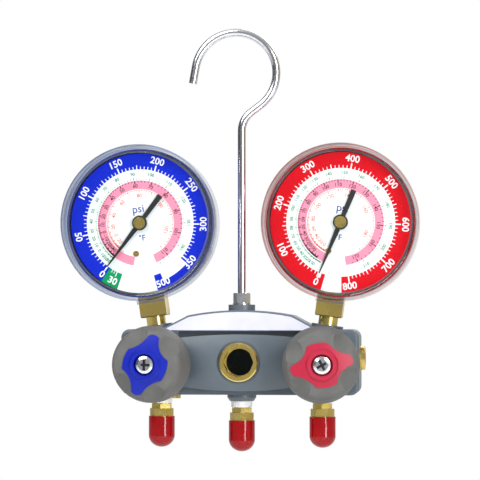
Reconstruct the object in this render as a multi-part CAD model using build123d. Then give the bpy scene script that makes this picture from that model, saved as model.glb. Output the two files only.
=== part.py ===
from build123d import *
from math import acos, atan, atan2, ceil, cos, degrees, hypot, pi, radians, sin, sqrt, tan
import os

# A two-valve refrigerant manifold with its two gauges, hanging hook and capped hose ports.
#
# Millimetres. X runs from the low side on the left to the high side on the right, -Y is the
# front and +Z is up. The origin is where the hook bears, on the line of its rod. The pieces are
# modelled about the centre of the sight glass, and are moved down by HOOK_REACH as they are written.

# ---- driving dimensions -----------------------------------------------------------------------
FIT = 0.05              # radial play of a thread or a running fit
SEAT_GAP = 0.3          # gap where a moving piece lies against a fixed one
LOW, HIGH = -1, 1       # the side of the manifold
SIDES = {"low": LOW, "high": HIGH}

# hook
HOOK_REACH = 175.6      # from where the hook bears down to the sight glass's centre
WIRE_R = 2.2
BOW_R = 22.1            # centreline of the bow
BOW_X = -3.3            # centre of the bow, from the rod's line
BOW_TURN = 53.0         # degrees that the bow runs on below its right-hand side
BOW_END = 170.0         # degrees from the bow's right-hand side to where its tip runs straight
TIP_LENGTH = 9.3
NECK_R = 12.0           # bend from the bow into the rod
ROD_SEAT = 11.0         # how deep the rod screws into the casting
NUT_AF = 8.0
NUT_HEIGHT = 5.4
WASHER_R = 4.9
WASHER_HEIGHT = 0.9

# casting
CORE_HALF_HEIGHT = 17.5
CORE_FRONT = 10.0       # from the port plane forward to the wall behind the barrel
CORE_BACK = 16.0        # from the port plane to the flat back
ARCH_FOOT_X = 42.0      # where the arched top meets the end blocks
SHOULDER_X = 28.0
SHOULDER_Z = 25.0
CROWN_Z = 27.7          # top of the arch
SHELF_Z = 16.5          # underside of the sloping shelf that carries the label
SHELF_FRONT = 14.0
SHELF_TOP_FRONT = 7.5
BLOCK_WIDTH = 31.0      # the blocks at the two ends
BLOCK_END_X = 63.7
BLOCK_FRONT = 14.0
BLOCK_CORNER_R = 4.5
BLOCK_EDGE_R = 1.5
BARREL_FRONT = 18.0     # front of the swelling barrel at its middle
BARREL_FALL = 5.0       # how far the barrel falls back towards the end blocks
BARREL_ROLL = 3.5       # how far its top and bottom edges roll back
BARREL_TOP_MID, BARREL_TOP_END = 14.8, 11.6
BARREL_LOW_MID, BARREL_LOW_END = 15.4, 11.2
TOP_BOSS_R = 7.2
TOP_BOSS_RISE = 3.0
PORT_BOSS_R = 7.8
PORT_BOSS_TIP_R = 6.5
CENTRE_BOSS_DROP = 3.6
SIDE_BOSS_DROP = 1.4
PASSAGE_R = 2.5         # the long drilling that joins the chambers
PASSAGE_Y = 6.0
PASSAGE_Z = 2.0
DRILLING_R = 1.5        # drillings from the ports and gauges into the chambers
END_PLUG_R = 6.5
END_PLUG_HEAD = 2.6
END_PLUG_SOCKET = 2.0   # depth of the key socket in it
END_PLUG_THREAD_R = 4.8
END_PLUG_DEPTH = 7.0
DRILL_PLUG_X = 37.0     # plugs under the casting that close the two upright drillings
DRILL_PLUG_Y = 8.5
DRILL_PLUG_R = 2.7
DRILL_PLUG_HEAD = 2.6
DRILL_PLUG_THREAD_R = 2.0
DRILL_PLUG_DEPTH = 5.0
LABEL_MARGIN = 1.0      # dark border left round the label
LABEL_THICKNESS = 0.5
LABEL_HALF_WIDTH = 39.6

# sight glass
RING_R = 10.35
RING_STAND = 0.6        # how far the ring stands out of its recess
RECESS_R = 11.65
RECESS_DEPTH = 1.6
SOCKET_AF = 15.0        # octagon that a key turns the ring by
SOCKET_DEPTH = 7.0
RING_LENGTH = 10.0
GLASS_BORE_R = 7.2
GLASS_R = 8.8
GLASS_THICKNESS = 2.6
SEAL_THICKNESS = 0.8
GLASS_PASSAGE_R = 4.0

# hose ports
LINE_X = 43.5           # the gauges and the outer ports point at these lines
PORT_RING_R = 5.7
PORT_RING_HEIGHT = 3.2
PORT_THREAD_R = 4.8
PORT_THREAD_LENGTH = 7.0
COLLAR_AF = 10.0
COLLAR_HEIGHT = 3.0
PORT_HEX_AF = 11.1
PORT_HEX_HEIGHT = 4.1
FLARE_R = 5.55          # 7/16-20 flare thread
FLARE_LENGTH = 12.0
FLARE_NOSE_R = 3.1
PORT_BORE_R = 1.9
CAP_R = 7.0
CAP_LENGTH = 16.7
CAP_WALL_END = 1.5
CAP_DOME = 6.4
CAP_LIFT = 22.0         # travel that clears the cap from its port

# valves
VALVE_X = 41.8          # where a valve's axis crosses the port plane
SPLAY = 5.5             # degrees that each valve leans outward
VALVE_Z = -0.8
CHAMBER_R = 5.5
VALVE_SEAT = -8.0       # along the valve's axis, forward of the port plane
ORIFICE_R = 1.7
PISTON_LENGTH = 8.0
VALVE_LIFT = 3.125      # two and a half turns of a 1.25 mm thread
VALVE_BOSS_R = 12.0
VALVE_BOSS_FACE = 16.0
BONNET_THREAD_R = 7.0
BONNET_ROOM = 0.9       # between the raised piston and the bonnet
BONNET_AF = 17.0
BONNET_HEX = 4.0
BONNET_NECK_R = 5.5
BONNET_NECK = 3.0
STEM_R = 3.2
STEM_FOOT_R = 2.4
STEM_FOOT = 3.0
STEM_SQUARE = 4.4
O_RING_R = 0.8
KNOB_R = 20.0
KNOB_FACE_R = 17.2
KNOB_BASE = 21.5        # from the port plane to the skirt's edge, along the axis
KNOB_HEIGHT = 24.5
KNOB_BELLY = 4.0        # height of the widest circle above the skirt's edge
KNOB_CROWN = 2.2        # rise of the face from its edge to its middle
KNOB_WALL = 2.6
KNOB_WEB = 8.5          # solid depth behind the face
KNOB_HUB_R = 6.0
KNOB_RIB = 1.6
SCOOP_R = 10.5
SCOOP_TILT = 38.0       # degrees that a finger scoop falls away
SCOOP_REACH = 9.8       # from the axis to where a scoop starts at the face
SCOOP_DIRECTIONS = (38.0, 148.0, 218.0, 328.0)
INLAY_DEPTH = 2.6
INLAY_STAND = 0.5
INLAY_FLOOR = 0.8       # what the screw's head clamps
INLAY_ANGLE = {"low": 68.4, "high": 7.6}     # how each inlay's long arms lie at rest
INLAY_RIM_R = 8.6
INLAY_RIM_HEIGHT = 0.7
SCREW_RECESS_R = 5.65
SCREW_HEAD_R = 5.0
SCREW_HEAD_HEIGHT = 2.6
SCREW_SHANK_R = 1.2
SCREW_LENGTH = 14.0
CROSS_WIDTH = 1.4
CROSS_LENGTH = 6.0
CROSS_DEPTH = 2.0
CROSS_TURN = 20.0       # degrees between the screw's cross and the inlay's arms

# gauges, about the dial's centre with the stem straight down
GAUGE_Z = 74.5          # dial centres above the sight glass's centre
GAUGE_LEAN = 8.0        # degrees that each gauge leans outward
LENS_R = 42.0
LENS_FRONT = 19.0
LENS_PLATE = 2.0
LENS_RIM = 1.0
LENS_RIM_WIDTH = 2.6
LENS_WALL = 3.8
LENS_SKIRT_END = 0.0
LENS_TAB_WIDTH = 15.2
LENS_TAB_REACH = 1.2
LENS_SKIRT_WALL = 2.1
CASE_R = LENS_R - LENS_SKIRT_WALL
CASE_WALL = 0.9
CASE_RIM = 10.0         # front edge of the case, forward of the port plane
CASE_BACK = 11.0
CASE_CORNER_R = 5.0
DIAL_MARGIN = 0.6
DIAL_R = LENS_R - LENS_WALL - DIAL_MARGIN
DIAL_FACE = 10.4
DIAL_THICKNESS = 0.8
DIAL_HOLE_R = 2.6
SOCKET_SIZE = 14.3
SOCKET_TOP = 24.0       # from the dial's centre down to the socket's inner end
SOCKET_BOTTOM = 50.7
SOCKET_THREAD_R = 5.15
GAUGE_SEAT = 55.2       # from the dial's centre down to the casting's gauge boss
GAUGE_BOSS_R = 8.5
SOCKET_THREAD_DEPTH = 8.0

# gauge movement
GEAR_MODULE = 0.4
PINION_TEETH = 12
SECTOR_TEETH = 78       # as many as the sector would have all the way round
PRESSURE_ANGLE = 20.0
BACKLASH = 0.08
PINION_ADDENDUM, PINION_DEDENDUM = 0.9, 1.15
SECTOR_ADDENDUM, SECTOR_DEDENDUM = 0.7, 1.2
DIAL_SWEEP = 330.0      # the most that a pointer turns up the scale
VACUUM_SWEEP = 20.0     # and back into vacuum
SPARE_TEETH = 1
GEAR_PLANE = 4.2        # front of the sector, forward of the port plane
SECTOR_THICKNESS = 1.2
SECTOR_HUB_R = 1.2      # collar that spaces the sector between the plates, clear of the link
SECTOR_EYE_R = 2.2
PINION_LENGTH = 2.0
PLATE_THICKNESS = 0.8
PLATE_FRONT = 7.15      # front of the front plate
PLATE_BACK = -1.2       # back of the back plate
PILLAR_R = 1.1
SHAFT_R = 0.75
TUBE_INSET = 8.9        # case edge to the centreline of the Bourdon tube
TUBE_R = CASE_R - TUBE_INSET
TUBE_WIDTH = 11.0
TUBE_THICKNESS = 3.2
TUBE_TIP = -10.0        # degrees from the right-hand side to the tube's closed end
LUG_INSET = 4.8         # how far inside it the link takes hold of the tube
LUG_R = TUBE_R - LUG_INSET
LINK_LENGTH = 7.0
LINK_THICKNESS = 0.6
LINK_EYE_R = 1.5
PIN_R = 0.5
OPEN_PIN_PLAY = 0.35    # play at the tube's end of the link
SPRING_INNER_R = 1.5
SPRING_TURNS = 3
SPRING_PITCH = 0.8
SPRING_STRIP = 0.2
SPRING_WIDTH = 0.8
STUD_R = 0.5            # stud that the spring's outer end is pinned to
POINTER_PLANE = 12.6
POINTER_THICKNESS = 0.6
POINTER_MARGIN = 8.1
POINTER_TIP = DIAL_R - POINTER_MARGIN
POINTER_TAIL = 18.5
POINTER_TAIL_WIDTH = 2.9
POINTER_TAIL_ROOT = 2.2
POINTER_ROOT_WIDTH = 3.0
POINTER_TIP_WIDTH = 0.5
POINTER_HUB_R = 4.0
POINTER_HUB_HEIGHT = 1.6
BUTTON_R = 3.2
BUTTON_HEIGHT = 0.6
POINTER_REST = {"low": -135.0, "high": -165.2}   # clockwise from the top of the dial
CAL_SCREW_R = 1.6
CAL_SCREW_RADIUS = 16.6
CAL_SCREW_ANGLE = 195.0
CAL_SHANK_R = 0.9
CAL_SLOT = 0.5


# ---- helpers ----------------------------------------------------------------------------------
def polar(radius, angle):
    """A point at an angle in degrees from the first axis."""
    return radius * cos(radians(angle)), radius * sin(radians(angle))


def outline(*edges):
    """A face inside a closed run of edges."""
    return make_face(Curve() + list(edges))


def front_prism(face, front, back):
    """A front-view face (x, z) made solid between two distances forward of the port plane."""
    return Pos(0, -back, 0) * extrude(Plane.XZ * face, amount=front - back)


def turned(*profile):
    """A turned piece: an (r, z) outline spun about Z."""
    return revolve(Plane.XZ * make_face(Polyline(*profile, close=True)), Axis.Z)


def rod(radius, low, high):
    """A round bar along Z."""
    return Pos(0, 0, low) * extrude(Circle(radius), amount=high - low)


def front_rod(radius, front, back, x=0.0, z=0.0):
    """A round bar along Y between two distances forward of the port plane."""
    return front_prism(Pos(x, z) * Circle(radius), front, back)


def hexagon(across_flats, low, high, turn=0.0):
    """A hexagonal bar along Z."""
    corner_r = across_flats / 2 / cos(radians(30))
    return Pos(0, 0, low) * extrude(Rot(0, 0, turn) * RegularPolygon(corner_r, 6), amount=high - low)


def mirrored(solid):
    """The same piece on both sides of the middle."""
    return solid + mirror(solid, about=Plane.YZ)


def write(name, piece, place=None):
    """Moves a piece to its place and writes it as a node."""
    placed = (place or Location()) * piece
    export_step(Pos(0, 0, -HOOK_REACH) * placed, f"parts/{name}.step")


# ---- places -----------------------------------------------------------------------------------
def gauge_place(side):
    """The dial's centre, leaning outward so that the stem points at the valve's chamber."""
    reach = GAUGE_Z * tan(radians(GAUGE_LEAN))
    return Pos(side * (LINE_X + reach), 0, GAUGE_Z) * Rot(0, side * GAUGE_LEAN, 0)


def valve_place(side):
    """A frame on the port plane whose Z runs out along the valve's axis, X right and Y up."""
    lean = side * radians(SPLAY)
    plane = Plane(
        origin=(side * VALVE_X, 0, VALVE_Z),
        x_dir=(cos(lean), sin(lean), 0),
        z_dir=(sin(lean), -cos(lean), 0),
    )
    return plane.location


PORT_SEATS = {
    "low": (-LINE_X, -CORE_HALF_HEIGHT - SIDE_BOSS_DROP),
    "centre": (0.0, -CORE_HALF_HEIGHT - CENTRE_BOSS_DROP),
    "high": (LINE_X, -CORE_HALF_HEIGHT - SIDE_BOSS_DROP),
}


def port_place(port):
    """The middle of a port's seat, where its fitting meets the casting's boss."""
    x, z = PORT_SEATS[port]
    return Pos(x, 0, z)


# ---- hook -------------------------------------------------------------------------------------
TOP_BOSS_Z = CROWN_Z + TOP_BOSS_RISE
NUT_LOW = TOP_BOSS_Z + WASHER_HEIGHT


def hook_wire():
    """The bent wire: rod, neck, bow and tip, with the bow bearing at the top of HOOK_REACH."""
    bow_z = HOOK_REACH - sqrt((BOW_R - WIRE_R) ** 2 - BOW_X ** 2)
    bow = CenterArc((BOW_X, bow_z), BOW_R, -BOW_TURN, BOW_TURN + BOW_END)
    bow_low = bow @ 0
    fall = radians(BOW_TURN)
    slant = (bow_low.X - NECK_R * (1 - cos(fall))) / sin(fall)
    neck_high = (bow_low.X - slant * sin(fall), bow_low.Y - slant * cos(fall))
    neck_centre = (NECK_R, neck_high[1] - NECK_R * sin(fall))
    neck = CenterArc(neck_centre, NECK_R, 180, -BOW_TURN)
    rod_low = (0, TOP_BOSS_Z - ROD_SEAT)
    bow_high = bow @ 1
    tip = bow_high + (bow % 1) * TIP_LENGTH
    path = Plane.XZ * (
        Curve()
        + [Line(rod_low, neck @ 0), neck, Line(neck @ 1, bow_low), bow, Line(bow_high, tip)]
    )
    section = Pos(0, 0, rod_low[1]) * Circle(WIRE_R)
    return sweep(section, path=path)


def make_hook():
    """The hook and the washer and nut that lock its rod in the casting."""
    write("hook", hook_wire())
    washer = rod(WASHER_R, TOP_BOSS_Z, NUT_LOW) - rod(WIRE_R + FIT, TOP_BOSS_Z, NUT_LOW)
    write("hook_washer", washer)
    nut = hexagon(NUT_AF, NUT_LOW, NUT_LOW + NUT_HEIGHT)
    chamfer_r = NUT_AF / 2
    rise = (chamfer_r / cos(radians(30)) - chamfer_r) * tan(radians(30))
    top = NUT_LOW + NUT_HEIGHT
    nut &= turned((0, NUT_LOW), (chamfer_r, NUT_LOW), (chamfer_r + 2, NUT_LOW + 2 * rise),
                  (chamfer_r + 2, top - 2 * rise), (chamfer_r, top), (0, top))
    nut -= rod(WIRE_R + FIT, NUT_LOW, top)
    write("hook_jam_nut", nut)


# ---- casting ----------------------------------------------------------------------------------
RING_FRONT = BARREL_FRONT + RING_STAND
GLASS_FRONT = RING_FRONT - RING_LENGTH
GLASS_FLOOR = GLASS_FRONT - GLASS_THICKNESS - SEAL_THICKNESS
SHELF_LEAN = atan((SHELF_FRONT - SHELF_TOP_FRONT) / (CROWN_Z - SHELF_Z))


def arch_outline(margin=0.0, low=-CORE_HALF_HEIGHT, half_width=ARCH_FOOT_X):
    """The casting between its end blocks, seen from the front, drawn in by a margin at the top."""
    foot_z = CORE_HALF_HEIGHT - margin
    shoulder = (SHOULDER_X - margin / 3, SHOULDER_Z - margin)
    slope = (SHOULDER_Z - CORE_HALF_HEIGHT) / (ARCH_FOOT_X - SHOULDER_X)
    side_z = min(foot_z + slope * (ARCH_FOOT_X - half_width), shoulder[1])
    return outline(
        Polyline((-half_width, side_z), (-half_width, low), (half_width, low), (half_width, side_z),
                 shoulder),
        ThreePointArc(shoulder, (0, CROWN_Z - margin), (-shoulder[0], shoulder[1])),
        Line((-shoulder[0], shoulder[1]), (-half_width, side_z)),
    )


def shelf_slope(depth, face_low):
    """A wedge that lies behind the shelf's sloping face, or reaches a depth in front of it."""
    top = CROWN_Z + TOP_BOSS_RISE
    profile = Polygon(
        (-SHELF_FRONT - depth, face_low),
        (-SHELF_FRONT + tan(SHELF_LEAN) * (top - SHELF_Z) - depth, top),
        (CORE_BACK, top),
        (CORE_BACK, face_low),
        align=None,
    )
    return extrude(Plane.YZ * profile, amount=BLOCK_END_X, both=True)


def barrel():
    """The swelling front of the casting, bowed along its length and rolled at its edges."""
    half = ARCH_FOOT_X
    front_view = outline(
        ThreePointArc((-half, BARREL_TOP_END), (0, BARREL_TOP_MID), (half, BARREL_TOP_END)),
        Line((half, BARREL_TOP_END), (half, -BARREL_LOW_END)),
        ThreePointArc((half, -BARREL_LOW_END), (0, -BARREL_LOW_MID), (-half, -BARREL_LOW_END)),
        Line((-half, -BARREL_LOW_END), (-half, BARREL_TOP_END)),
    )
    edge_z = max(BARREL_TOP_MID, BARREL_LOW_MID) + 1
    inner = -CORE_FRONT + BARREL_FALL + 1
    rolled = outline(
        ThreePointArc((-BARREL_FRONT + BARREL_ROLL, -edge_z), (-BARREL_FRONT, 0),
                      (-BARREL_FRONT + BARREL_ROLL, edge_z)),
        Polyline((-BARREL_FRONT + BARREL_ROLL, edge_z), (inner, edge_z), (inner, -edge_z),
                 (-BARREL_FRONT + BARREL_ROLL, -edge_z)),
    )
    bow_r = (half ** 2 + BARREL_FALL ** 2) / (2 * BARREL_FALL)
    spin = Axis((0, bow_r - BARREL_FRONT, 0), (0, 0, 1))
    half_turn = degrees(half / bow_r) + 2
    swept = revolve(Plane.YZ * rolled, spin, 2 * half_turn)
    return swept.rotate(spin, -half_turn) & front_prism(front_view, BARREL_FRONT + 1, 0)


def end_block():
    """The right-hand end block, rounded at its outer corners and edges."""
    block = Pos(BLOCK_END_X - BLOCK_WIDTH / 2, (CORE_BACK - BLOCK_FRONT) / 2, 0) * Box(
        BLOCK_WIDTH, CORE_BACK + BLOCK_FRONT, 2 * CORE_HALF_HEIGHT)
    corners = block.edges().filter_by(Axis.Y).group_by(Axis.X)[-1]
    block = fillet(corners, BLOCK_CORNER_R)
    front = block.faces().sort_by(Axis.Y)[0].edges().filter_by(lambda edge: edge.center().X > LINE_X)
    return fillet(front, BLOCK_EDGE_R)


def port_boss(port, drop):
    """A rounded boss under the casting that a hose port screws into."""
    x, z = PORT_SEATS[port]
    tip = min(drop, (PORT_BOSS_R - PORT_BOSS_TIP_R) * 1.5)
    return Pos(x, 0, z) * turned((0, 0), (PORT_BOSS_TIP_R, 0), (PORT_BOSS_R, tip),
                                 (PORT_BOSS_R, drop + 2), (0, drop + 2))


def valve_cavity(side):
    """What is cut out of the casting for one valve: chamber, bonnet thread and orifice."""
    bonnet_low = VALVE_SEAT + PISTON_LENGTH + VALVE_LIFT + BONNET_ROOM
    cut = rod(CHAMBER_R, VALVE_SEAT, bonnet_low)
    cut += rod(BONNET_THREAD_R + FIT, bonnet_low, VALVE_BOSS_FACE + 1)
    cut += rod(ORIFICE_R, VALVE_SEAT - PASSAGE_R - 1, VALVE_SEAT)
    return valve_place(side) * cut


def make_casting():
    """The body: arched core, sloping shelf, barrel front, end blocks and bosses, drilled out."""
    body = front_prism(arch_outline(), CORE_FRONT, -CORE_BACK)
    shelf = front_prism(arch_outline(low=SHELF_Z), SHELF_FRONT, CORE_FRONT) & shelf_slope(0, SHELF_Z)
    below_shelf = front_prism(arch_outline(), CORE_FRONT, -CORE_BACK) & Pos(
        0, 0, SHELF_Z - 2 * CORE_HALF_HEIGHT) * Box(
        2 * BLOCK_END_X, 2 * CORE_BACK, 4 * CORE_HALF_HEIGHT)
    body = (body & shelf_slope(0, SHELF_Z)) + below_shelf + shelf
    body += barrel()
    body += mirrored(end_block())
    body += rod(TOP_BOSS_R, CROWN_Z - 6, TOP_BOSS_Z)
    body += port_boss("centre", CENTRE_BOSS_DROP)
    for port in SIDES:
        body += port_boss(port, SIDE_BOSS_DROP)
    for side in SIDES.values():
        body += valve_place(side) * rod(VALVE_BOSS_R, 0, VALVE_BOSS_FACE)
        body += gauge_place(side) * rod(GAUGE_BOSS_R, -GAUGE_Z + CORE_HALF_HEIGHT / 2, -GAUGE_SEAT)
    for side in SIDES.values():
        body -= valve_cavity(side)
        thread_low = -GAUGE_SEAT - SOCKET_THREAD_DEPTH
        body -= gauge_place(side) * rod(SOCKET_THREAD_R + FIT, thread_low, -GAUGE_SEAT + 1)
        body -= gauge_place(side) * rod(DRILLING_R, -GAUGE_Z, thread_low)
        body -= Pos(side * DRILL_PLUG_X, DRILL_PLUG_Y, 0) * rod(
            DRILL_PLUG_THREAD_R + FIT, -CORE_HALF_HEIGHT - 1, -CORE_HALF_HEIGHT + DRILL_PLUG_DEPTH)
    for x, z in PORT_SEATS.values():
        body -= Pos(x, 0, 0) * rod(PORT_THREAD_R + FIT, z - 1, z + PORT_THREAD_LENGTH)
        body -= Pos(x, 0, 0) * rod(DRILLING_R, z, VALVE_Z)
    passage = Plane.YZ * Pos(PASSAGE_Y, PASSAGE_Z)
    body -= extrude(passage * Circle(PASSAGE_R), amount=BLOCK_END_X + 1, both=True)
    plug_hole = Pos(BLOCK_END_X - END_PLUG_DEPTH, 0, 0) * extrude(
        passage * Circle(END_PLUG_THREAD_R + FIT), amount=END_PLUG_DEPTH + 1)
    body -= mirrored(plug_hole)
    body -= rod(WIRE_R + FIT, TOP_BOSS_Z - ROD_SEAT, TOP_BOSS_Z + 1)
    body -= front_rod(RECESS_R, BARREL_FRONT + 1, BARREL_FRONT - RECESS_DEPTH)
    body -= front_rod(RING_R + FIT, BARREL_FRONT, GLASS_FLOOR)
    body -= front_rod(GLASS_PASSAGE_R, BARREL_FRONT, -PASSAGE_Y)
    write("manifold_body", body)


def make_label():
    """The plate that lies on the sloping shelf and follows its arch."""
    front_view = front_prism(
        arch_outline(LABEL_MARGIN, SHELF_Z + LABEL_MARGIN / 2, LABEL_HALF_WIDTH), 30, -CORE_BACK)
    depth = LABEL_THICKNESS / cos(SHELF_LEAN)
    proud = shelf_slope(depth, SHELF_Z) - shelf_slope(0, SHELF_Z)
    write("label_plate", front_view & proud)


def make_plugs():
    """Brass plugs that close the drillings: one in each end, and two underneath."""
    head = turned((0, -END_PLUG_DEPTH), (END_PLUG_THREAD_R, -END_PLUG_DEPTH), (END_PLUG_THREAD_R, 0),
                  (END_PLUG_R, 0), (END_PLUG_R, END_PLUG_HEAD - 0.6), (END_PLUG_R - 0.6, END_PLUG_HEAD),
                  (0, END_PLUG_HEAD))
    head -= hexagon(END_PLUG_R, END_PLUG_HEAD - END_PLUG_SOCKET, END_PLUG_HEAD)
    write("end_plugs", mirrored(Pos(BLOCK_END_X, PASSAGE_Y, PASSAGE_Z) * Rot(0, 90, 0) * head))
    low = -CORE_HALF_HEIGHT
    small = hexagon(2 * DRILL_PLUG_R * cos(radians(30)), low - DRILL_PLUG_HEAD, low)
    small += rod(DRILL_PLUG_THREAD_R, low, low + DRILL_PLUG_DEPTH)
    write("drilling_plugs", mirrored(Pos(DRILL_PLUG_X, DRILL_PLUG_Y, 0) * small))


# ---- sight glass ------------------------------------------------------------------------------
def make_sight_glass():
    """The ring with its octagonal socket, the glass that it clamps, and the seal behind."""
    ring = front_rod(RING_R, RING_FRONT, GLASS_FRONT)
    ring = chamfer(ring.edges().sort_by(Axis.Y)[0], 0.6)
    octagon = RegularPolygon(SOCKET_AF / 2 / cos(radians(22.5)), 8)
    ring -= front_prism(octagon, RING_FRONT + 1, RING_FRONT - SOCKET_DEPTH)
    ring -= front_rod(GLASS_BORE_R, RING_FRONT, GLASS_FRONT)
    write("sight_glass_ring", ring)
    glass_back = GLASS_FRONT - GLASS_THICKNESS
    write("sight_glass_lens", front_rod(GLASS_R, GLASS_FRONT, glass_back))
    seal = front_rod(GLASS_R, glass_back, GLASS_FLOOR) - front_rod(
        GLASS_PASSAGE_R + 1, glass_back, GLASS_FLOOR)
    write("sight_glass_seal", seal)


# ---- hose ports -------------------------------------------------------------------------------
def port_fitting():
    """A flare fitting that hangs from its seat: collar, hexagon and flare thread with a nose."""
    collar_low = -PORT_RING_HEIGHT - COLLAR_HEIGHT
    hex_low = collar_low - PORT_HEX_HEIGHT
    nose = FLARE_R - FLARE_NOSE_R
    tip = hex_low - FLARE_LENGTH
    fitting = rod(PORT_THREAD_R, -PORT_RING_HEIGHT, PORT_THREAD_LENGTH)
    collar = hexagon(COLLAR_AF, collar_low, -PORT_RING_HEIGHT, 30)
    reach = COLLAR_AF / 2 / cos(radians(30))
    collar &= turned((0, collar_low), (reach, collar_low), (reach, -PORT_RING_HEIGHT - 0.8),
                     (reach - 0.8, -PORT_RING_HEIGHT), (0, -PORT_RING_HEIGHT))
    fitting += collar
    fitting += hexagon(PORT_HEX_AF, hex_low, collar_low)
    fitting += turned((0, hex_low), (FLARE_R, hex_low), (FLARE_R, tip + nose),
                      (FLARE_NOSE_R, tip), (0, tip))
    return fitting - rod(PORT_BORE_R, tip, PORT_THREAD_LENGTH)


def port_cap():
    """A dipped vinyl cap with a domed end, pushed up against the fitting's hexagon."""
    top = -PORT_RING_HEIGHT - COLLAR_HEIGHT - PORT_HEX_HEIGHT - SEAT_GAP / 3
    low = top - CAP_LENGTH
    spring = low + CAP_DOME
    inner_low = low + CAP_WALL_END

    def dome(radius, end, start):
        return outline(
            EllipticalCenterArc((0, start), radius, start - end, start_angle=270, arc_size=90),
            Polyline((radius, start), (radius, top), (0, top), (0, end)),
        )

    cap = revolve(Plane.XZ * dome(CAP_R, low, spring), Axis.Z)
    return cap - revolve(Plane.XZ * dome(FLARE_R + FIT, inner_low, spring), Axis.Z)


def make_ports():
    """The white rings, fittings and caps of the three hose ports."""
    rings = [port_place(port) * (rod(PORT_RING_R, -PORT_RING_HEIGHT, 0)
                                 - rod(PORT_THREAD_R + FIT, -PORT_RING_HEIGHT, 0)) for port in PORT_SEATS]
    write("port_seal_rings", Compound(children=rings))
    for port in PORT_SEATS:
        write(f"{port}_port_fitting", port_fitting(), port_place(port))
        write(f"{port}_port_cap", port_cap(), port_place(port))


# ---- valves -----------------------------------------------------------------------------------
PISTON_TOP = VALVE_SEAT + FIT + PISTON_LENGTH
BONNET_LOW = VALVE_SEAT + PISTON_LENGTH + VALVE_LIFT + BONNET_ROOM
BONNET_TOP = VALVE_BOSS_FACE + BONNET_HEX + BONNET_NECK
KNOB_FACE = KNOB_BASE + KNOB_HEIGHT
INLAY_BACK = KNOB_FACE - INLAY_DEPTH
HEAD_SEAT = INLAY_BACK + INLAY_FLOOR
STEM_TOP = INLAY_BACK - 0.2
O_RING_PLACES = (VALVE_SEAT + FIT + 2.6, VALVE_SEAT + FIT + 5.4)


def make_piston(name, side):
    """The piston that closes on the orifice, with grooves for its two O-rings."""
    radius = CHAMBER_R - FIT
    low = VALVE_SEAT + FIT
    piston = turned((0, low), (radius - 1.5, low), (radius, low + 1.5), (radius, PISTON_TOP),
                    (0, PISTON_TOP))
    groove = O_RING_R + FIT
    for middle in O_RING_PLACES:
        piston -= rod(radius + 1, middle - groove, middle + groove) - rod(
            radius - 2 * groove, middle - groove, middle + groove)
    piston -= rod(STEM_FOOT_R + FIT, PISTON_TOP - STEM_FOOT - FIT, PISTON_TOP)
    write(f"{name}_valve_piston", piston, valve_place(side))
    rings = [Pos(0, 0, middle) * Torus(radius - O_RING_R, O_RING_R) for middle in O_RING_PLACES]
    write(f"{name}_piston_o_rings", Compound(children=rings), valve_place(side))


def make_bonnet(name, side):
    """The gland that screws into the casting and carries the stem."""
    bonnet = rod(BONNET_THREAD_R, BONNET_LOW, VALVE_BOSS_FACE)
    bonnet += hexagon(BONNET_AF, VALVE_BOSS_FACE, VALVE_BOSS_FACE + BONNET_HEX)
    bonnet += turned((0, VALVE_BOSS_FACE), (BONNET_NECK_R, VALVE_BOSS_FACE),
                     (BONNET_NECK_R, BONNET_TOP - 0.8), (BONNET_NECK_R - 0.8, BONNET_TOP),
                     (0, BONNET_TOP))
    bonnet -= rod(STEM_R + FIT, BONNET_LOW, BONNET_TOP)
    write(f"{name}_valve_bonnet", bonnet, valve_place(side))


def make_stem(name, side):
    """The stem: a foot in the piston, a round shank and a square that drives the knob."""
    square_low = KNOB_FACE - KNOB_WEB - 2
    stem = rod(STEM_FOOT_R, PISTON_TOP - STEM_FOOT, PISTON_TOP + 1)
    stem += rod(STEM_R, PISTON_TOP + FIT, square_low)
    stem += Pos(0, 0, square_low) * extrude(
        Rectangle(STEM_SQUARE, STEM_SQUARE), amount=STEM_TOP - square_low)
    stem -= rod(SCREW_SHANK_R + FIT, HEAD_SEAT - SCREW_LENGTH, STEM_TOP)
    write(f"{name}_valve_stem", stem, valve_place(side))


def inlay_outline(angle):
    """The four-armed inlay: two long narrow arms and two short broad ones, hollow between them."""
    tip_high, tip, tip_low = (14.6, 3.8), (16.4, 0.6), (15.5, -1.9)
    lobe_right, lobe_left, hollow_high, hollow_low = (6.5, -10.5), (-4.5, -11.0), (9.2, 6.2), (10.4, -4.2)

    def opposite(point):
        return -point[0], -point[1]

    def half(turn):
        return [
            ThreePointArc(turn(opposite(lobe_left)), turn(hollow_high), turn(tip_high)),
            ThreePointArc(turn(tip_high), turn(tip), turn(tip_low)),
            ThreePointArc(turn(tip_low), turn(hollow_low), turn(lobe_right)),
            ThreePointArc(turn(lobe_right), turn((1.0, -11.7)), turn(lobe_left)),
        ]

    return Rot(0, 0, angle) * outline(*half(lambda p: p), *half(opposite))


def knob_blank():
    """The grip before its scoops: a skirt that bellies out and closes in to a crowned face."""
    edge = KNOB_FACE - KNOB_CROWN
    belly = KNOB_BASE + KNOB_BELLY
    profile = outline(
        Line((0, KNOB_BASE), (KNOB_R - 0.8, KNOB_BASE)),
        ThreePointArc((KNOB_R - 0.8, KNOB_BASE), (KNOB_R, belly), (KNOB_FACE_R + 1.6, edge - 3.4)),
        ThreePointArc((KNOB_FACE_R + 1.6, edge - 3.4), (KNOB_FACE_R + 0.6, edge - 0.9),
                      (KNOB_FACE_R - 2, edge + 0.5)),
        ThreePointArc((KNOB_FACE_R - 2, edge + 0.5), (KNOB_FACE_R / 2, KNOB_FACE - 0.5),
                      (0, KNOB_FACE)),
        Line((0, KNOB_FACE), (0, KNOB_BASE)),
    )
    return revolve(Plane.XZ * profile, Axis.Z)


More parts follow.
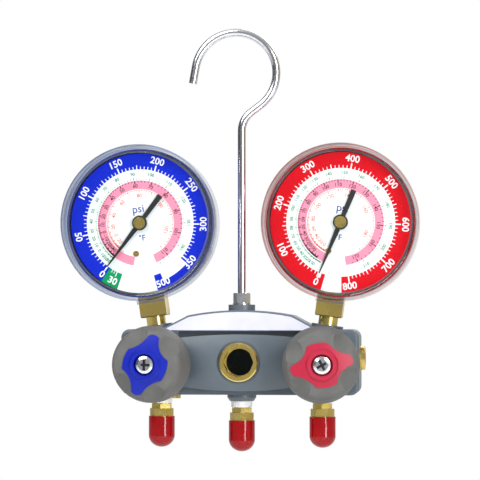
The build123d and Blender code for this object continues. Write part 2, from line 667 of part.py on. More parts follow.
def make_knob(name, side):
    """The grip with its scoops and ribbed hollow, and the coloured inlay let into its face."""
    angle = INLAY_ANGLE[name]
    grip = knob_blank()
    for direction in SCOOP_DIRECTIONS:
        start = Pos(*polar(SCOOP_REACH, angle + direction), KNOB_FACE)
        groove = Rot(0, 0, angle + direction) * Rot(0, 90 + SCOOP_TILT, 0) * Pos(-SCOOP_R, 0, -8)
        grip -= start * groove * extrude(Circle(SCOOP_R), amount=40)
    inner_top = KNOB_FACE - KNOB_WEB
    hollow = rod(KNOB_R - KNOB_WALL, KNOB_BASE - 1, inner_top - 4)
    hollow += turned((0, inner_top - 4), (KNOB_R - KNOB_WALL, inner_top - 4),
                     (KNOB_FACE_R - KNOB_WALL - 5, inner_top), (0, inner_top))
    hollow -= rod(KNOB_HUB_R, BONNET_TOP + 2, KNOB_FACE)
    for turn in (0, 90):
        hollow -= Rot(0, 0, angle + turn) * Pos(0, 0, (BONNET_TOP + 2 + KNOB_FACE) / 2) * Box(
            2 * KNOB_R, KNOB_RIB, KNOB_FACE - BONNET_TOP - 2)
    grip -= hollow
    plate = inlay_outline(angle)
    grip -= Pos(0, 0, INLAY_BACK) * extrude(plate, amount=KNOB_HEIGHT)
    grip -= rod(STEM_R + FIT, BONNET_TOP, KNOB_FACE - KNOB_WEB - 2)
    grip -= Pos(0, 0, BONNET_TOP) * extrude(
        Rectangle(STEM_SQUARE + 2 * FIT, STEM_SQUARE + 2 * FIT), amount=KNOB_HEIGHT)
    write(f"{name}_knob_grip", grip, valve_place(side))

    inlay = Pos(0, 0, INLAY_BACK) * extrude(plate, amount=KNOB_HEIGHT)
    crown_r = (KNOB_FACE_R ** 2 + KNOB_CROWN ** 2) / (2 * KNOB_CROWN)
    inlay &= Pos(0, 0, KNOB_FACE + INLAY_STAND - crown_r) * Sphere(crown_r)
    inlay += turned((0, INLAY_BACK), (INLAY_RIM_R, INLAY_BACK), (INLAY_RIM_R, KNOB_FACE),
                    (INLAY_RIM_R - 1, KNOB_FACE + INLAY_STAND + INLAY_RIM_HEIGHT),
                    (0, KNOB_FACE + INLAY_STAND + INLAY_RIM_HEIGHT))
    inlay -= rod(SCREW_RECESS_R, HEAD_SEAT, KNOB_FACE + KNOB_CROWN)
    inlay -= rod(SCREW_SHANK_R + FIT, INLAY_BACK, HEAD_SEAT)
    write(f"{name}_knob_inlay", inlay, valve_place(side))


def make_knob_screw(name, side):
    """The cross-head screw that holds the knob on its stem."""
    seat = HEAD_SEAT
    top = seat + SCREW_HEAD_HEIGHT
    screw = turned((0, seat), (SCREW_HEAD_R, seat), (SCREW_HEAD_R, top - 1.1),
                   (SCREW_HEAD_R - 0.5, top - 0.5), (SCREW_HEAD_R - 1.8, top), (0, top))
    screw += rod(SCREW_SHANK_R, seat - SCREW_LENGTH, seat)
    for turn in (0, 90):
        cross = Box(CROSS_LENGTH, CROSS_WIDTH, CROSS_DEPTH * 2)
        screw -= Pos(0, 0, top) * Rot(0, 0, INLAY_ANGLE[name] + CROSS_TURN + turn) * cross
    write(f"{name}_knob_screw", screw, valve_place(side))


# ---- gauge shells -----------------------------------------------------------------------------
def gauge_ring(profile):
    """A round gauge piece: a (radius, distance forward) outline spun about the dial's axis."""
    points = [(radius, -forward) for radius, forward in profile]
    return revolve(make_face(Polyline(*points, close=True)), Axis.Y)


def socket_slot(play):
    """The square notch at the bottom that the socket passes through."""
    side = SOCKET_SIZE + 2 * play
    return Pos(0, 0, -(SOCKET_TOP + LENS_R + 8) / 2 - 4) * Box(side, side, LENS_R + 16 - SOCKET_TOP)


def make_gauge_shell(name, place):
    """The painted cup, the clear lens that snaps over it, and the dial."""
    inner = CASE_R - CASE_WALL
    bend = CASE_CORNER_R
    back = CASE_BACK
    cup = outline(
        Polyline((0, back), (CASE_R - bend, back)),
        RadiusArc((CASE_R - bend, back), (CASE_R, back - bend), bend, short_sagitta=True),
        Polyline((CASE_R, back - bend), (CASE_R, -CASE_RIM), (inner, -CASE_RIM), (inner, back - bend)),
        RadiusArc((inner, back - bend), (CASE_R - bend, back - CASE_WALL), -(bend - CASE_WALL)),
        Polyline((CASE_R - bend, back - CASE_WALL), (0, back - CASE_WALL), (0, back)),
    )
    case = revolve(cup, Axis.Y) - socket_slot(FIT)
    write(f"{name}_gauge_case", case, place)

    front, plate = LENS_FRONT, LENS_FRONT - LENS_RIM
    lens = gauge_ring([
        (0, plate), (LENS_R - LENS_RIM_WIDTH - 0.6, plate), (LENS_R - LENS_RIM_WIDTH, front),
        (LENS_R - 0.8, front), (LENS_R, front - 0.8), (LENS_R, LENS_SKIRT_END),
        (CASE_R + FIT, LENS_SKIRT_END), (CASE_R + FIT, CASE_RIM), (LENS_R - LENS_WALL, CASE_RIM),
        (LENS_R - LENS_WALL, plate - LENS_PLATE), (0, plate - LENS_PLATE),
    ])
    tab_front = CASE_RIM + 0.6
    tab_back = SOCKET_SIZE / 2 + FIT
    tab_low = LENS_R + LENS_TAB_REACH
    tab = Pos(0, -(tab_front + tab_back) / 2, -(tab_low + CASE_R) / 2) * Box(
        LENS_TAB_WIDTH, tab_front - tab_back, tab_low - CASE_R)
    lens = (lens + (tab - front_rod(CASE_R, LENS_FRONT, 0))) - socket_slot(FIT)
    write(f"{name}_gauge_lens", lens, place)

    dial = front_rod(DIAL_R, DIAL_FACE, DIAL_FACE - DIAL_THICKNESS)
    dial -= front_rod(DIAL_HOLE_R, DIAL_FACE, 0)
    dial -= front_rod(CAL_SHANK_R + FIT, DIAL_FACE, 0, *cal_screw_point())
    write(f"{name}_gauge_dial", dial, place)


def make_socket(name, place):
    """The square brass block that carries the gauge: it screws into the casting."""
    block = Pos(0, 0, -(SOCKET_TOP + SOCKET_BOTTOM) / 2) * Box(
        SOCKET_SIZE, SOCKET_SIZE, SOCKET_BOTTOM - SOCKET_TOP)
    block = chamfer(block.faces().sort_by(Axis.Z)[0].edges(), 0.5)
    thread_low = -GAUGE_SEAT - SOCKET_THREAD_DEPTH + 1
    block += turned((0, -SOCKET_BOTTOM), (SOCKET_THREAD_R, -SOCKET_BOTTOM),
                    (SOCKET_THREAD_R, thread_low + 0.8), (SOCKET_THREAD_R - 0.8, thread_low),
                    (0, thread_low))
    block -= rod(DRILLING_R, thread_low, -SOCKET_TOP - 6)
    write(f"{name}_gauge_socket", block, place)


# ---- gauge movement ---------------------------------------------------------------------------
CENTRE_DISTANCE = GEAR_MODULE * (PINION_TEETH + SECTOR_TEETH) / 2
GEAR_RATIO = SECTOR_TEETH / PINION_TEETH
TUBE_START = (SOCKET_SIZE / 2 + SEAT_GAP) * TUBE_R / (TUBE_R - TUBE_THICKNESS / 2)
TUBE_ROOT = (-TUBE_START, -sqrt(TUBE_R ** 2 - TUBE_START ** 2))
LUG_POINT = polar(LUG_R, TUBE_TIP)


def turned_about(point, centre, angle):
    """A front-view point turned anticlockwise about a centre."""
    x, z = point[0] - centre[0], point[1] - centre[1]
    c, s = cos(radians(angle)), sin(radians(angle))
    return centre[0] + c * x - s * z, centre[1] + s * x + c * z


def linkage():
    """The movement's pivots at rest: sector pivot, tail pin, and the tube's flex over the scale.

    At mid-scale the link lies along the path of the tube's tip and square to the sector's tail.
    """
    sector_swing = (DIAL_SWEEP + VACUUM_SWEEP) / GEAR_RATIO
    rest_turn = (DIAL_SWEEP - VACUUM_SWEEP) / 2 / GEAR_RATIO
    flex = 0.0
    for _ in range(20):
        lug = turned_about(LUG_POINT, TUBE_ROOT, flex * rest_turn / sector_swing)
        arm = (lug[0] - TUBE_ROOT[0], lug[1] - TUBE_ROOT[1])
        reach = hypot(*arm)
        path = (-arm[1] / reach, arm[0] / reach)
        pin = (lug[0] + LINK_LENGTH * path[0], lug[1] + LINK_LENGTH * path[1])
        square = (path[1], -path[0])
        along = pin[0] * square[0] + pin[1] * square[1]
        across = pin[0] * path[0] + pin[1] * path[1]
        tail = along - sqrt(CENTRE_DISTANCE ** 2 - across ** 2)
        flex = degrees(2 * tail * sin(radians(sector_swing / 2)) / reach)
    pivot = (pin[0] - tail * square[0], pin[1] - tail * square[1])
    return pivot, turned_about(pin, pivot, -rest_turn), flex


SECTOR_PIVOT, TAIL_PIN, TUBE_FLEX = linkage()


def direction(start, end):
    """The angle in degrees of the line from one front-view point to another."""
    return degrees(atan2(end[1] - start[1], end[0] - start[0]))


def involute(angle):
    """How far the involute has unrolled at a pressure angle, in radians."""
    return tan(angle) - angle


def tooth(teeth, addendum, dedendum, centre):
    """One involute tooth's outline points, in order, about a centre angle in degrees."""
    pitch_r = GEAR_MODULE * teeth / 2
    pressure = radians(PRESSURE_ANGLE)
    base_r = pitch_r * cos(pressure)
    root_r = pitch_r - dedendum * GEAR_MODULE
    tip_r = pitch_r + addendum * GEAR_MODULE
    half_pitch = pi / 2 / teeth * (1 - BACKLASH)
    radii = [root_r, max(base_r, root_r + 0.02), pitch_r, tip_r]

    def half_width(radius):
        turn = acos(min(1.0, base_r / radius))
        return degrees(half_pitch + involute(pressure) - involute(turn))

    rising = [polar(r, centre - half_width(r)) for r in radii]
    falling = [polar(r, centre + half_width(r)) for r in reversed(radii)]
    return rising + falling


def pinion_face():
    """The pinion, with a gap towards the sector."""
    pitch = 360 / PINION_TEETH
    start = direction((0, 0), SECTOR_PIVOT) + pitch / 2
    points = []
    for index in range(PINION_TEETH):
        points += tooth(PINION_TEETH, PINION_ADDENDUM, PINION_DEDENDUM, start + index * pitch)
    return make_face(Polyline(*points, close=True))


def sector_face():
    """The toothed sector about its pivot, with a window in its web and a tail for the link."""
    pitch = 360 / SECTOR_TEETH
    mesh = direction(SECTOR_PIVOT, (0, 0)) % 360
    above = ceil(DIAL_SWEEP / GEAR_RATIO / pitch) + SPARE_TEETH
    below = ceil(VACUUM_SWEEP / GEAR_RATIO / pitch) + SPARE_TEETH
    points = []
    for index in range(-above, below + 1):
        points += tooth(SECTOR_TEETH, SECTOR_ADDENDUM, SECTOR_DEDENDUM, mesh + index * pitch)
    face = make_face(Polyline((0, 0), *points, close=True))
    pitch_r = GEAR_MODULE * SECTOR_TEETH / 2
    start, end = mesh - (above - 1.2) * pitch, mesh + (below - 1.2) * pitch
    window = outline(
        Line(polar(5, start), polar(pitch_r - 2.2, start)),
        ThreePointArc(polar(pitch_r - 2.2, start), polar(pitch_r - 2.2, (start + end) / 2),
                      polar(pitch_r - 2.2, end)),
        Line(polar(pitch_r - 2.2, end), polar(5, end)),
        ThreePointArc(polar(5, end), polar(5, (start + end) / 2), polar(5, start)),
    )
    face -= window
    tail = (TAIL_PIN[0] - SECTOR_PIVOT[0], TAIL_PIN[1] - SECTOR_PIVOT[1])
    reach = hypot(*tail)
    arm = Rot(0, 0, direction((0, 0), tail)) * Pos(reach / 2, 0) * SlotCenterToCenter(reach, 2 * LINK_EYE_R)
    return face + Circle(SECTOR_EYE_R) + arm


def on_pivot(face):
    """Moves a face drawn about the sector's pivot to its place."""
    return Pos(*SECTOR_PIVOT) * face


def cal_screw_point():
    """Where the zero screw stands in the dial, as a front-view point."""
    angle = radians(CAL_SCREW_ANGLE)
    return CAL_SCREW_RADIUS * sin(angle), CAL_SCREW_RADIUS * cos(angle)


def make_sector(name, place):
    """The sector on its staff, with a pin for the link."""
    gear_back = GEAR_PLANE - SECTOR_THICKNESS
    sector = front_prism(on_pivot(sector_face()), GEAR_PLANE, gear_back)
    plates_front = PLATE_FRONT - PLATE_THICKNESS
    plates_back = PLATE_BACK + PLATE_THICKNESS
    sector += front_rod(SECTOR_HUB_R, plates_front - 2 * FIT, plates_back + 2 * FIT, *SECTOR_PIVOT)
    sector += front_rod(PIN_R, gear_back, gear_back - 2 * LINK_THICKNESS, *TAIL_PIN)
    sector += front_rod(SHAFT_R, PLATE_FRONT, PLATE_BACK, *SECTOR_PIVOT)
    write(f"{name}_sector_gear", sector, place)


LINK_FRONT = GEAR_PLANE - SECTOR_THICKNESS - 0.2
LUG_FRONT = LINK_FRONT - LINK_THICKNESS - 0.3


def make_link(name, place):
    """The link from the tube's lug to the sector's tail, with an open eye at the lug."""
    angle = direction(LUG_POINT, TAIL_PIN)
    reach = hypot(TAIL_PIN[0] - LUG_POINT[0], TAIL_PIN[1] - LUG_POINT[1])
    middle = ((TAIL_PIN[0] + LUG_POINT[0]) / 2, (TAIL_PIN[1] + LUG_POINT[1]) / 2)
    face = Pos(*middle) * Rot(0, 0, angle) * SlotCenterToCenter(reach, 2 * LINK_EYE_R)
    face -= Pos(*TAIL_PIN) * Circle(PIN_R + FIT)
    face -= Pos(*LUG_POINT) * Circle(PIN_R + OPEN_PIN_PLAY)
    write(f"{name}_tip_link", front_prism(face, LINK_FRONT, LINK_FRONT - LINK_THICKNESS), place)


def make_tube(name, place):
    """The Bourdon tube: a flattened tube bent round the case, with a lug at its closed end."""
    root_angle = direction((0, 0), TUBE_ROOT) % 360
    section = Pos(TUBE_R, 0) * Rot(0, 0, 90) * SlotOverall(TUBE_WIDTH, TUBE_THICKNESS)
    sweep_angle = root_angle - TUBE_TIP
    tube = revolve(section, Axis.Y, sweep_angle)
    tube = tube.rotate(Axis.Y, -root_angle)
    lug_face = Polygon((LUG_R - LINK_EYE_R, -1.4), (TUBE_R + 1.2, -1.4), (TUBE_R + 1.2, 1.4),
                       (LUG_R - LINK_EYE_R, 1.4), align=None)
    lug = Rot(0, -TUBE_TIP, 0) * front_prism(lug_face, LUG_FRONT, LUG_FRONT - 1.2)
    tube += lug
    tube += front_rod(PIN_R, LINK_FRONT + 0.1, LUG_FRONT, *LUG_POINT)
    write(f"{name}_bourdon_tube", tube, place)


def make_movement_frame(name, place):
    """Two brass plates on pillars that stand on the socket, with posts that hold the dial."""
    pivot_x, pivot_z = SECTOR_PIVOT
    corners = [(-8, -SOCKET_TOP), (-8, 8.5), (4, 8.5), (pivot_x + 3.5, pivot_z + 5),
               (pivot_x + 3.5, pivot_z - 5), (8, -SOCKET_TOP)]
    plate = fillet(make_face(Polyline(*corners, close=True)).vertices(), 2)
    plate -= Circle(SHAFT_R + FIT)
    plate -= on_pivot(Circle(SHAFT_R + FIT))
    frame = front_prism(plate, PLATE_FRONT, PLATE_FRONT - PLATE_THICKNESS)
    frame += front_prism(plate, PLATE_BACK + PLATE_THICKNESS, PLATE_BACK)
    for x, z in ((-5, 5.5), (-5, -10), (0, -SOCKET_TOP + 2.5)):
        frame += front_rod(PILLAR_R, PLATE_FRONT, PLATE_BACK, x, z)
    for x, z in ((-5, 5.5), (5, -SOCKET_TOP + 3)):
        frame += front_rod(PILLAR_R, DIAL_FACE - DIAL_THICKNESS, PLATE_FRONT, x, z)
    frame -= front_rod(CAL_SHANK_R + FIT, PLATE_FRONT, PLATE_FRONT - PLATE_THICKNESS, *cal_screw_point())
    stud_x = -(SPRING_INNER_R + SPRING_TURNS * SPRING_PITCH)
    frame += front_rod(STUD_R, SPRING_FRONT, PLATE_BACK, stud_x, -STUD_R)
    write(f"{name}_movement_frame", frame, place)


SPRING_FRONT = GEAR_PLANE + 0.4 - PINION_LENGTH - 0.6


def make_hairspring(name, place):
    """A flat spiral of half-turn arcs, each a little wider than the one before."""
    grow = SPRING_PITCH / 2
    arcs = []
    for half_turn in range(2 * SPRING_TURNS):
        upper = half_turn % 2
        radius = SPRING_INNER_R + half_turn * grow
        arcs.append(CenterArc((-grow * upper, 0), radius, 180 - 180 * upper, 180))
    spiral = trace(Curve() + arcs, SPRING_STRIP)
    write(f"{name}_hairspring", front_prism(spiral, SPRING_FRONT, SPRING_FRONT - SPRING_WIDTH), place)


def make_pointer(name, place):
    """The pointer, and its shaft with the pinion and a slotted button."""
    turn = Rot(0, POINTER_REST[name], 0)
    half_tip, half_root = POINTER_TIP_WIDTH / 2, POINTER_ROOT_WIDTH / 2
    blade = Polygon((-half_tip, POINTER_TIP), (half_tip, POINTER_TIP), (half_root, 0), (-half_root, 0),
                    align=None)
    half_neck, half_tail = POINTER_TAIL_ROOT / 2, POINTER_TAIL_WIDTH / 2
    tail = Polygon((-half_neck, 0), (half_neck, 0), (half_tail, -POINTER_TAIL), (-half_tail, -POINTER_TAIL),
                   align=None)
    back = POINTER_PLANE - POINTER_THICKNESS
    pointer = front_prism(blade + tail, POINTER_PLANE, back)
    hub_front = POINTER_PLANE + (POINTER_HUB_HEIGHT - POINTER_THICKNESS) / 2
    pointer += front_rod(POINTER_HUB_R, hub_front, hub_front - POINTER_HUB_HEIGHT)
    pointer -= front_rod(SHAFT_R + FIT, hub_front, 0)
    write(f"{name}_pointer", turn * pointer, place)

    shaft = front_rod(SHAFT_R, hub_front, PLATE_BACK)
    shaft += front_rod(BUTTON_R, hub_front + BUTTON_HEIGHT, hub_front)
    shaft += front_prism(pinion_face(), GEAR_PLANE + 0.4, GEAR_PLANE + 0.4 - PINION_LENGTH)
    slot = Box(CAL_SLOT, CAL_SLOT, 2 * BUTTON_R)
    shaft -= Pos(0, -hub_front - BUTTON_HEIGHT, 0) * slot
    write(f"{name}_pointer_shaft", shaft, place)


def make_cal_screw(name, place):
    """The brass screw in the dial's face that sets the pointer to zero."""
    x, z = cal_screw_point()
    screw = front_rod(CAL_SCREW_R, DIAL_FACE + 0.9, DIAL_FACE)
    screw -= Pos(0, -DIAL_FACE - 0.9, 0) * Box(2 * CAL_SCREW_R, CAL_SLOT * 1.6, CAL_SLOT)
    screw += front_rod(CAL_SHANK_R, DIAL_FACE, PLATE_FRONT - PLATE_THICKNESS)
    write(f"{name}_calibration_screw", Pos(x, 0, z) * screw, place)


# ---- build ------------------------------------------------------------------------------------
def build():
    os.makedirs("parts", exist_ok=True)
    make_hook()
    make_casting()
    make_label()
    make_plugs()
    make_sight_glass()
    make_ports()
    for name, side in SIDES.items():
        make_piston(name, side)
        make_bonnet(name, side)
        make_stem(name, side)
        make_knob(name, side)
        make_knob_screw(name, side)
        place = gauge_place(side)
        make_gauge_shell(name, place)
        make_socket(name, place)
        make_tube(name, place)
        make_movement_frame(name, place)
        make_sector(name, place)
        make_link(name, place)
        make_hairspring(name, place)
        make_pointer(name, place)
        make_cal_screw(name, place)


build()
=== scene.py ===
# %% [markdown]
# # A refrigerant manifold: two dial gauges, two valves, three capped ports and a hook
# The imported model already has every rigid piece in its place, in metres, with the origin where the
# hook bears and the front facing -Y. This lesson gives every piece its finish, threads the ports that
# the caps hide, prints the dials, and lights the whole on white.

# %% Load the frame
from math import cos, degrees, exp, pi, radians, sin

import bmesh
import bpy
from mathutils import Matrix, Vector


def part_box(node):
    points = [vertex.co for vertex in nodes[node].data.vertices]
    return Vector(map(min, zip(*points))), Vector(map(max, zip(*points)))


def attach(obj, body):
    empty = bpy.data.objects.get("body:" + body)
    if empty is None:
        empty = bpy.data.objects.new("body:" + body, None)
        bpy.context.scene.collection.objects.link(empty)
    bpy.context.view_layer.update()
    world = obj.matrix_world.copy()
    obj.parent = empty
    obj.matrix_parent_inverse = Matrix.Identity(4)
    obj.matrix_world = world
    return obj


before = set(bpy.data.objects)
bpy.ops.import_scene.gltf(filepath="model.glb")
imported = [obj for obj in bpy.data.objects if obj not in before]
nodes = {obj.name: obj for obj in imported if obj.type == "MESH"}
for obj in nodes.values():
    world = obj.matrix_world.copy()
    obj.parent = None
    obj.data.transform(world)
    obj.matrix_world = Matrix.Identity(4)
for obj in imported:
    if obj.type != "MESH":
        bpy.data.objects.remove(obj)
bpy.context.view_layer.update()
MM = 0.001
SIDES = {"low": -1, "high": 1}      # which way along X each side lies, and leans
print("pieces loaded:", len(nodes))

# %% [markdown]
# Each gauge leans outward, so everything printed on a dial is drawn flat, with the dial's centre at
# the origin and its face towards -Y, and is then set in place by one matrix. The dial is a thin disc
# that only leans in its own plane, so the middle of its box is its centre.

# %% Where the dials are
GAUGE_LEAN = radians(8)


def box_middle(node):
    low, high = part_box(node)
    return (low + high) / 2


def dial_place(name):
    """The matrix that takes a flat drawing of a dial to the dial's front face."""
    low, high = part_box(f"{name}_gauge_dial")
    middle = (low + high) / 2
    lean = Matrix.Rotation(SIDES[name] * GAUGE_LEAN, 4, "Y")
    return Matrix.Translation((middle.x, low.y, middle.z)) @ lean


for name in SIDES:
    print(name, "dial at", [round(v / MM, 1) for v in dial_place(name).translation], "mm")

# %% [markdown]
# ## Shader arithmetic
# A finish is mostly sums: how far from a centre, how bright, how rough. Typing those as nodes is slow,
# so one small class wraps a socket and turns Python's operators into Math nodes. Any other node comes
# from a single method that takes the node's type, its settings and its sockets.

# %% A socket that arithmetic works on
def operator(operation, reflected=False):
    """One of Python's operators, as a Math node; reflected is for a number on the left of a wire."""
    def apply(wire, other):
        return wire.math(operation, other, wire) if reflected else wire.math(operation, wire, other)
    return apply


class Wire:
    """A value in a material that can be added, multiplied or compared like a number."""

    def __init__(self, tree, socket):
        self.tree, self.socket = tree, socket

    def node(self, kind, settings=None, sockets=None, out=0):
        """Adds a node of a type, with its settings made first, then its sockets' values or links."""
        node = self.tree.nodes.new(kind)
        for key, value in (settings or {}).items():
            if key == "stops":
                ramp = node.color_ramp.elements
                for place, colour in value[1:-1]:
                    ramp.new(place).color = colour
                ramp[0].position, ramp[0].color = value[0]
                ramp[-1].position, ramp[-1].color = value[-1]
            else:
                setattr(node, key, value)
        for key, value in (sockets or {}).items():
            if isinstance(value, Wire):
                self.tree.links.new(value.socket, node.inputs[key])
            else:
                node.inputs[key].default_value = value
        return Wire(self.tree, node.outputs[out])

    def math(self, operation, *values):
        """A Math node on any values."""
        return self.node("ShaderNodeMath", {"operation": operation}, dict(enumerate(values)))

    __add__ = operator("ADD")
    __radd__ = operator("ADD", reflected=True)
    __sub__ = operator("SUBTRACT")
    __rsub__ = operator("SUBTRACT", reflected=True)
    __mul__ = operator("MULTIPLY")
    __rmul__ = operator("MULTIPLY", reflected=True)
    __truediv__ = operator("DIVIDE")
    __rtruediv__ = operator("DIVIDE", reflected=True)
    __pow__ = operator("POWER")
    __gt__ = operator("GREATER_THAN")
    __lt__ = operator("LESS_THAN")

    def dot(self, vector):
        """How far a place lies along a direction."""
        return self.node("ShaderNodeVectorMath", {"operation": "DOT_PRODUCT"}, {0: self, 1: vector}, "Value")

    def minus(self, vector):
        """A place as seen from another."""
        return self.node("ShaderNodeVectorMath", {"operation": "SUBTRACT"}, {0: self, 1: vector})


print("made the class", Wire.__name__)

# %% [markdown]
# A finish starts from one Principled shader and the piece's own Object coordinates. Because every
# piece keeps its place in its mesh, those are the model's metres, so a grain of 900 to the metre is
# about a millimetre wide wherever it is used.

# %% A finish
class Finish:
    """One material: constants go on its shader's own sockets, and wires feed what varies."""

    def __init__(self, name, colour, **constants):
        self.material = bpy.data.materials.new(name)
        self.material.use_nodes = True
        self.tree = self.material.node_tree
        self.shader = self.tree.nodes["Principled BSDF"]
        self.shader.inputs["Base Color"].default_value = (*colour, 1)
        for key, value in constants.items():
            self.shader.inputs[key.replace("_", " ")].default_value = value
        coordinates = self.tree.nodes.new("ShaderNodeTexCoord")
        self.place = Wire(self.tree, coordinates.outputs["Object"])

    def feed(self, socket, wire):
        """Leads a wire into one of the shader's sockets."""
        self.tree.links.new(wire.socket, self.shader.inputs[socket])

    def fed(self, socket):
        """The wire that a socket of the shader already has."""
        return Wire(self.tree, self.shader.inputs[socket].links[0].from_socket)

    def noise(self, scale, detail=3.0, stretch=None, rough=0.55):
        """Fractal noise; stretch squeezes it along the axes, for brushed or drawn metal."""
        place = self.place
        if stretch:
            place = place.node("ShaderNodeVectorMath", {"operation": "MULTIPLY"}, {0: place, 1: stretch})
        return place.node("ShaderNodeTexNoise", {}, {"Vector": place, "Scale": scale, "Detail": detail,
                                                     "Roughness": rough}, "Fac")

    def ramp(self, wire, low, high):
        """Stretches the part of a wire between two values over 0 to 1."""
        return wire.node("ShaderNodeMapRange", {}, {"Value": wire, "From Min": low, "From Max": high})

    def blend(self, share, first, second):
        """Mixes two colours; each is a wire or three numbers."""
        first, second = [c if isinstance(c, Wire) else (*c, 1) for c in (first, second)]
        return self.place.node("ShaderNodeMix", {"data_type": "RGBA"}, {0: share, 6: first, 7: second}, 2)

    def bump(self, height, distance):
        """Raises the surface by a height from 0 to 1, of which 1 stands for a distance in metres."""
        raised = height.node("ShaderNodeBump", {}, {"Height": height, "Distance": distance}, "Normal")
        self.feed("Normal", raised)


def dress(finish, *names):
    """Gives CAD pieces a finish."""
    for name in names:
        nodes[name].data.materials.clear()
        nodes[name].data.materials.append(finish.material)
    print(finish.material.name, "on", ", ".join(names))


print("made the class", Finish.__name__)

# %% [markdown]
# ## The casting
# The body is a zinc die casting under slate grey paint. The paint keeps a faint orange-peel from
# spraying, and its gloss and tone wander a little over a few centimetres.

# %% Painted casting
def casting_paint():
    paint = Finish("slate_casting_paint", (0.09, 0.11, 0.13), Roughness=0.38)
    drift = paint.noise(45, 2)
    peel = paint.noise(1500, 2)
    grit = paint.ramp(paint.noise(5200, 1), 0.62, 0.72)
    tone = paint.blend(drift, (0.064, 0.084, 0.104), (0.104, 0.130, 0.152))
    paint.feed("Base Color", paint.blend(grit * 0.35, tone, (0.045, 0.055, 0.070)))
    paint.feed("Roughness", 0.30 + drift * 0.12 + grit * 0.15)
    paint.bump(peel + grit * 0.3, 0.00006)
    return paint


dress(casting_paint(), "manifold_body")

# %% [markdown]
# The sloping shelf carries a thin white plate. It is left bare: a satin sheet with a cool tint and
# the slightest waviness, so that it doesn't read as a cut-out.

# %% Bare plate
def plate_white():
    plate = Finish("bare_white_plate", (0.72, 0.72, 0.86), Roughness=0.32)
    wave = plate.noise(60, 2)
    plate.feed("Base Color", plate.blend(wave, (0.46, 0.46, 0.66), (0.64, 0.65, 0.80)))
    plate.feed("Roughness", 0.25 + wave * 0.2)
    plate.bump(wave, 0.0002)
    return plate


dress(plate_white(), "label_plate")

# %% [markdown]
# ## Brass
# The fittings, sockets, plugs and ring are turned or milled from brass bar. Handling leaves it
# unevenly dulled, so one noise mixes an olive tarnish into the gold and roughens it there, and a
# second, very fine and stretched, gives the cutter's marks.

# %% Brass, bronze and their kin
def brass(name, bright, dull, dulling, marks):
    """Copper alloy; dulling is the share of tarnish in its dull places, marks stretch the tool marks."""
    metal = Finish(name, bright, Metallic=1.0, Roughness=0.3)
    stain = metal.ramp(metal.noise(75, 3), 0.40, 0.66)
    cuts = metal.noise(900, 1, stretch=marks)
    metal.feed("Base Color", metal.blend(stain * dulling, bright, dull))
    metal.feed("Roughness", 0.15 + stain * 0.14 + cuts * 0.08)
    metal.bump(cuts, 0.000006)
    return metal


ROUND_CUTS = (0.15, 0.15, 6.0)
GOLD, OLIVE = (0.86, 0.66, 0.20), (0.50, 0.40, 0.10)
dress(brass("turned_brass", GOLD, OLIVE, 0.6, ROUND_CUTS), "end_plugs", "drilling_plugs", "sight_glass_ring",
      *[f"{name}_{piece}" for name in SIDES for piece in
        ("valve_bonnet", "valve_piston", "valve_stem", "gauge_socket", "pointer_shaft", "calibration_screw")])
dress(brass("stamped_brass", (0.78, 0.58, 0.22), (0.45, 0.34, 0.12), 0.4, (3.0, 1.0, 1.0)),
      *[f"{name}_{piece}" for name in SIDES for piece in ("movement_frame", "sector_gear", "tip_link")])
dress(brass("drawn_bronze", (0.66, 0.38, 0.18), (0.36, 0.22, 0.12), 0.6, (1.0, 6.0, 1.0)),
      *[f"{name}_{piece}" for name in SIDES for piece in ("bourdon_tube", "hairspring")])

# %% [markdown]
# A hose screws on to the lower half of each port fitting, which the cap hides until it is pulled
# off. Cutting the 7/16-20 thread as mesh would take thousands of faces for what nobody sees closely,
# so it is a bump: a wave in the height, from the flare's nose up to the fitting's hexagon.

# %% Flare threads
THREAD_PITCH, THREAD_DEPTH = 1.27, 0.6         # mm
THREAD_START, THREAD_END = 2.6, 11.4           # mm above the flare's foot


def threaded_brass(name):
    """Turned brass with a hose thread on the lower half."""
    metal = brass(f"{name}_threaded_brass", GOLD, OLIVE, 0.6, ROUND_CUTS)
    foot = min(vertex.co.z for vertex in nodes[f"{name}_port_fitting"].data.vertices)
    up = metal.place.dot((0, 0, 1)) / MM - foot / MM
    wave = up.math("SINE", up * (2 * pi / THREAD_PITCH))
    threaded = (up > THREAD_START) * (up < THREAD_END)
    metal.bump(wave * threaded, THREAD_DEPTH / 2 * MM)
    return metal


for port in ("low", "centre", "high"):
    dress(threaded_brass(port), f"{port}_port_fitting")

# %% [markdown]
# ## Hook, nut and screws
# The hook is bright zinc-plated wire. Plating is mirror-like but follows the drawn wire's faint
# grooves, which run along the rod, so the noise is stretched upwards. The nut, washer and screw heads
# are the same plating on turned or pressed steel, a little whiter.

# %% Zinc plating
def zinc_plate(name, bright, dark, rough, marks):
    """Bright plating, cloudy from dark to bright, with grooves that marks stretch along the axes."""
    metal = Finish(name, bright, Metallic=1.0, Roughness=rough)
    cloud = metal.noise(320, 4)
    lines = metal.noise(2600, 2, stretch=marks)
    metal.feed("Base Color", metal.blend(cloud, dark, bright))
    metal.feed("Roughness", rough + cloud * 0.08 + lines * 0.06)
    return metal


dress(zinc_plate("bright_hook_wire", (0.86, 0.87, 0.90), (0.70, 0.72, 0.76), 0.10, (1.0, 1.0, 0.05)), "hook")
dress(zinc_plate("plated_hardware", (0.88, 0.90, 0.94), (0.66, 0.69, 0.74), 0.14, (1.0, 1.0, 1.0)),
      "hook_jam_nut", "hook_washer")
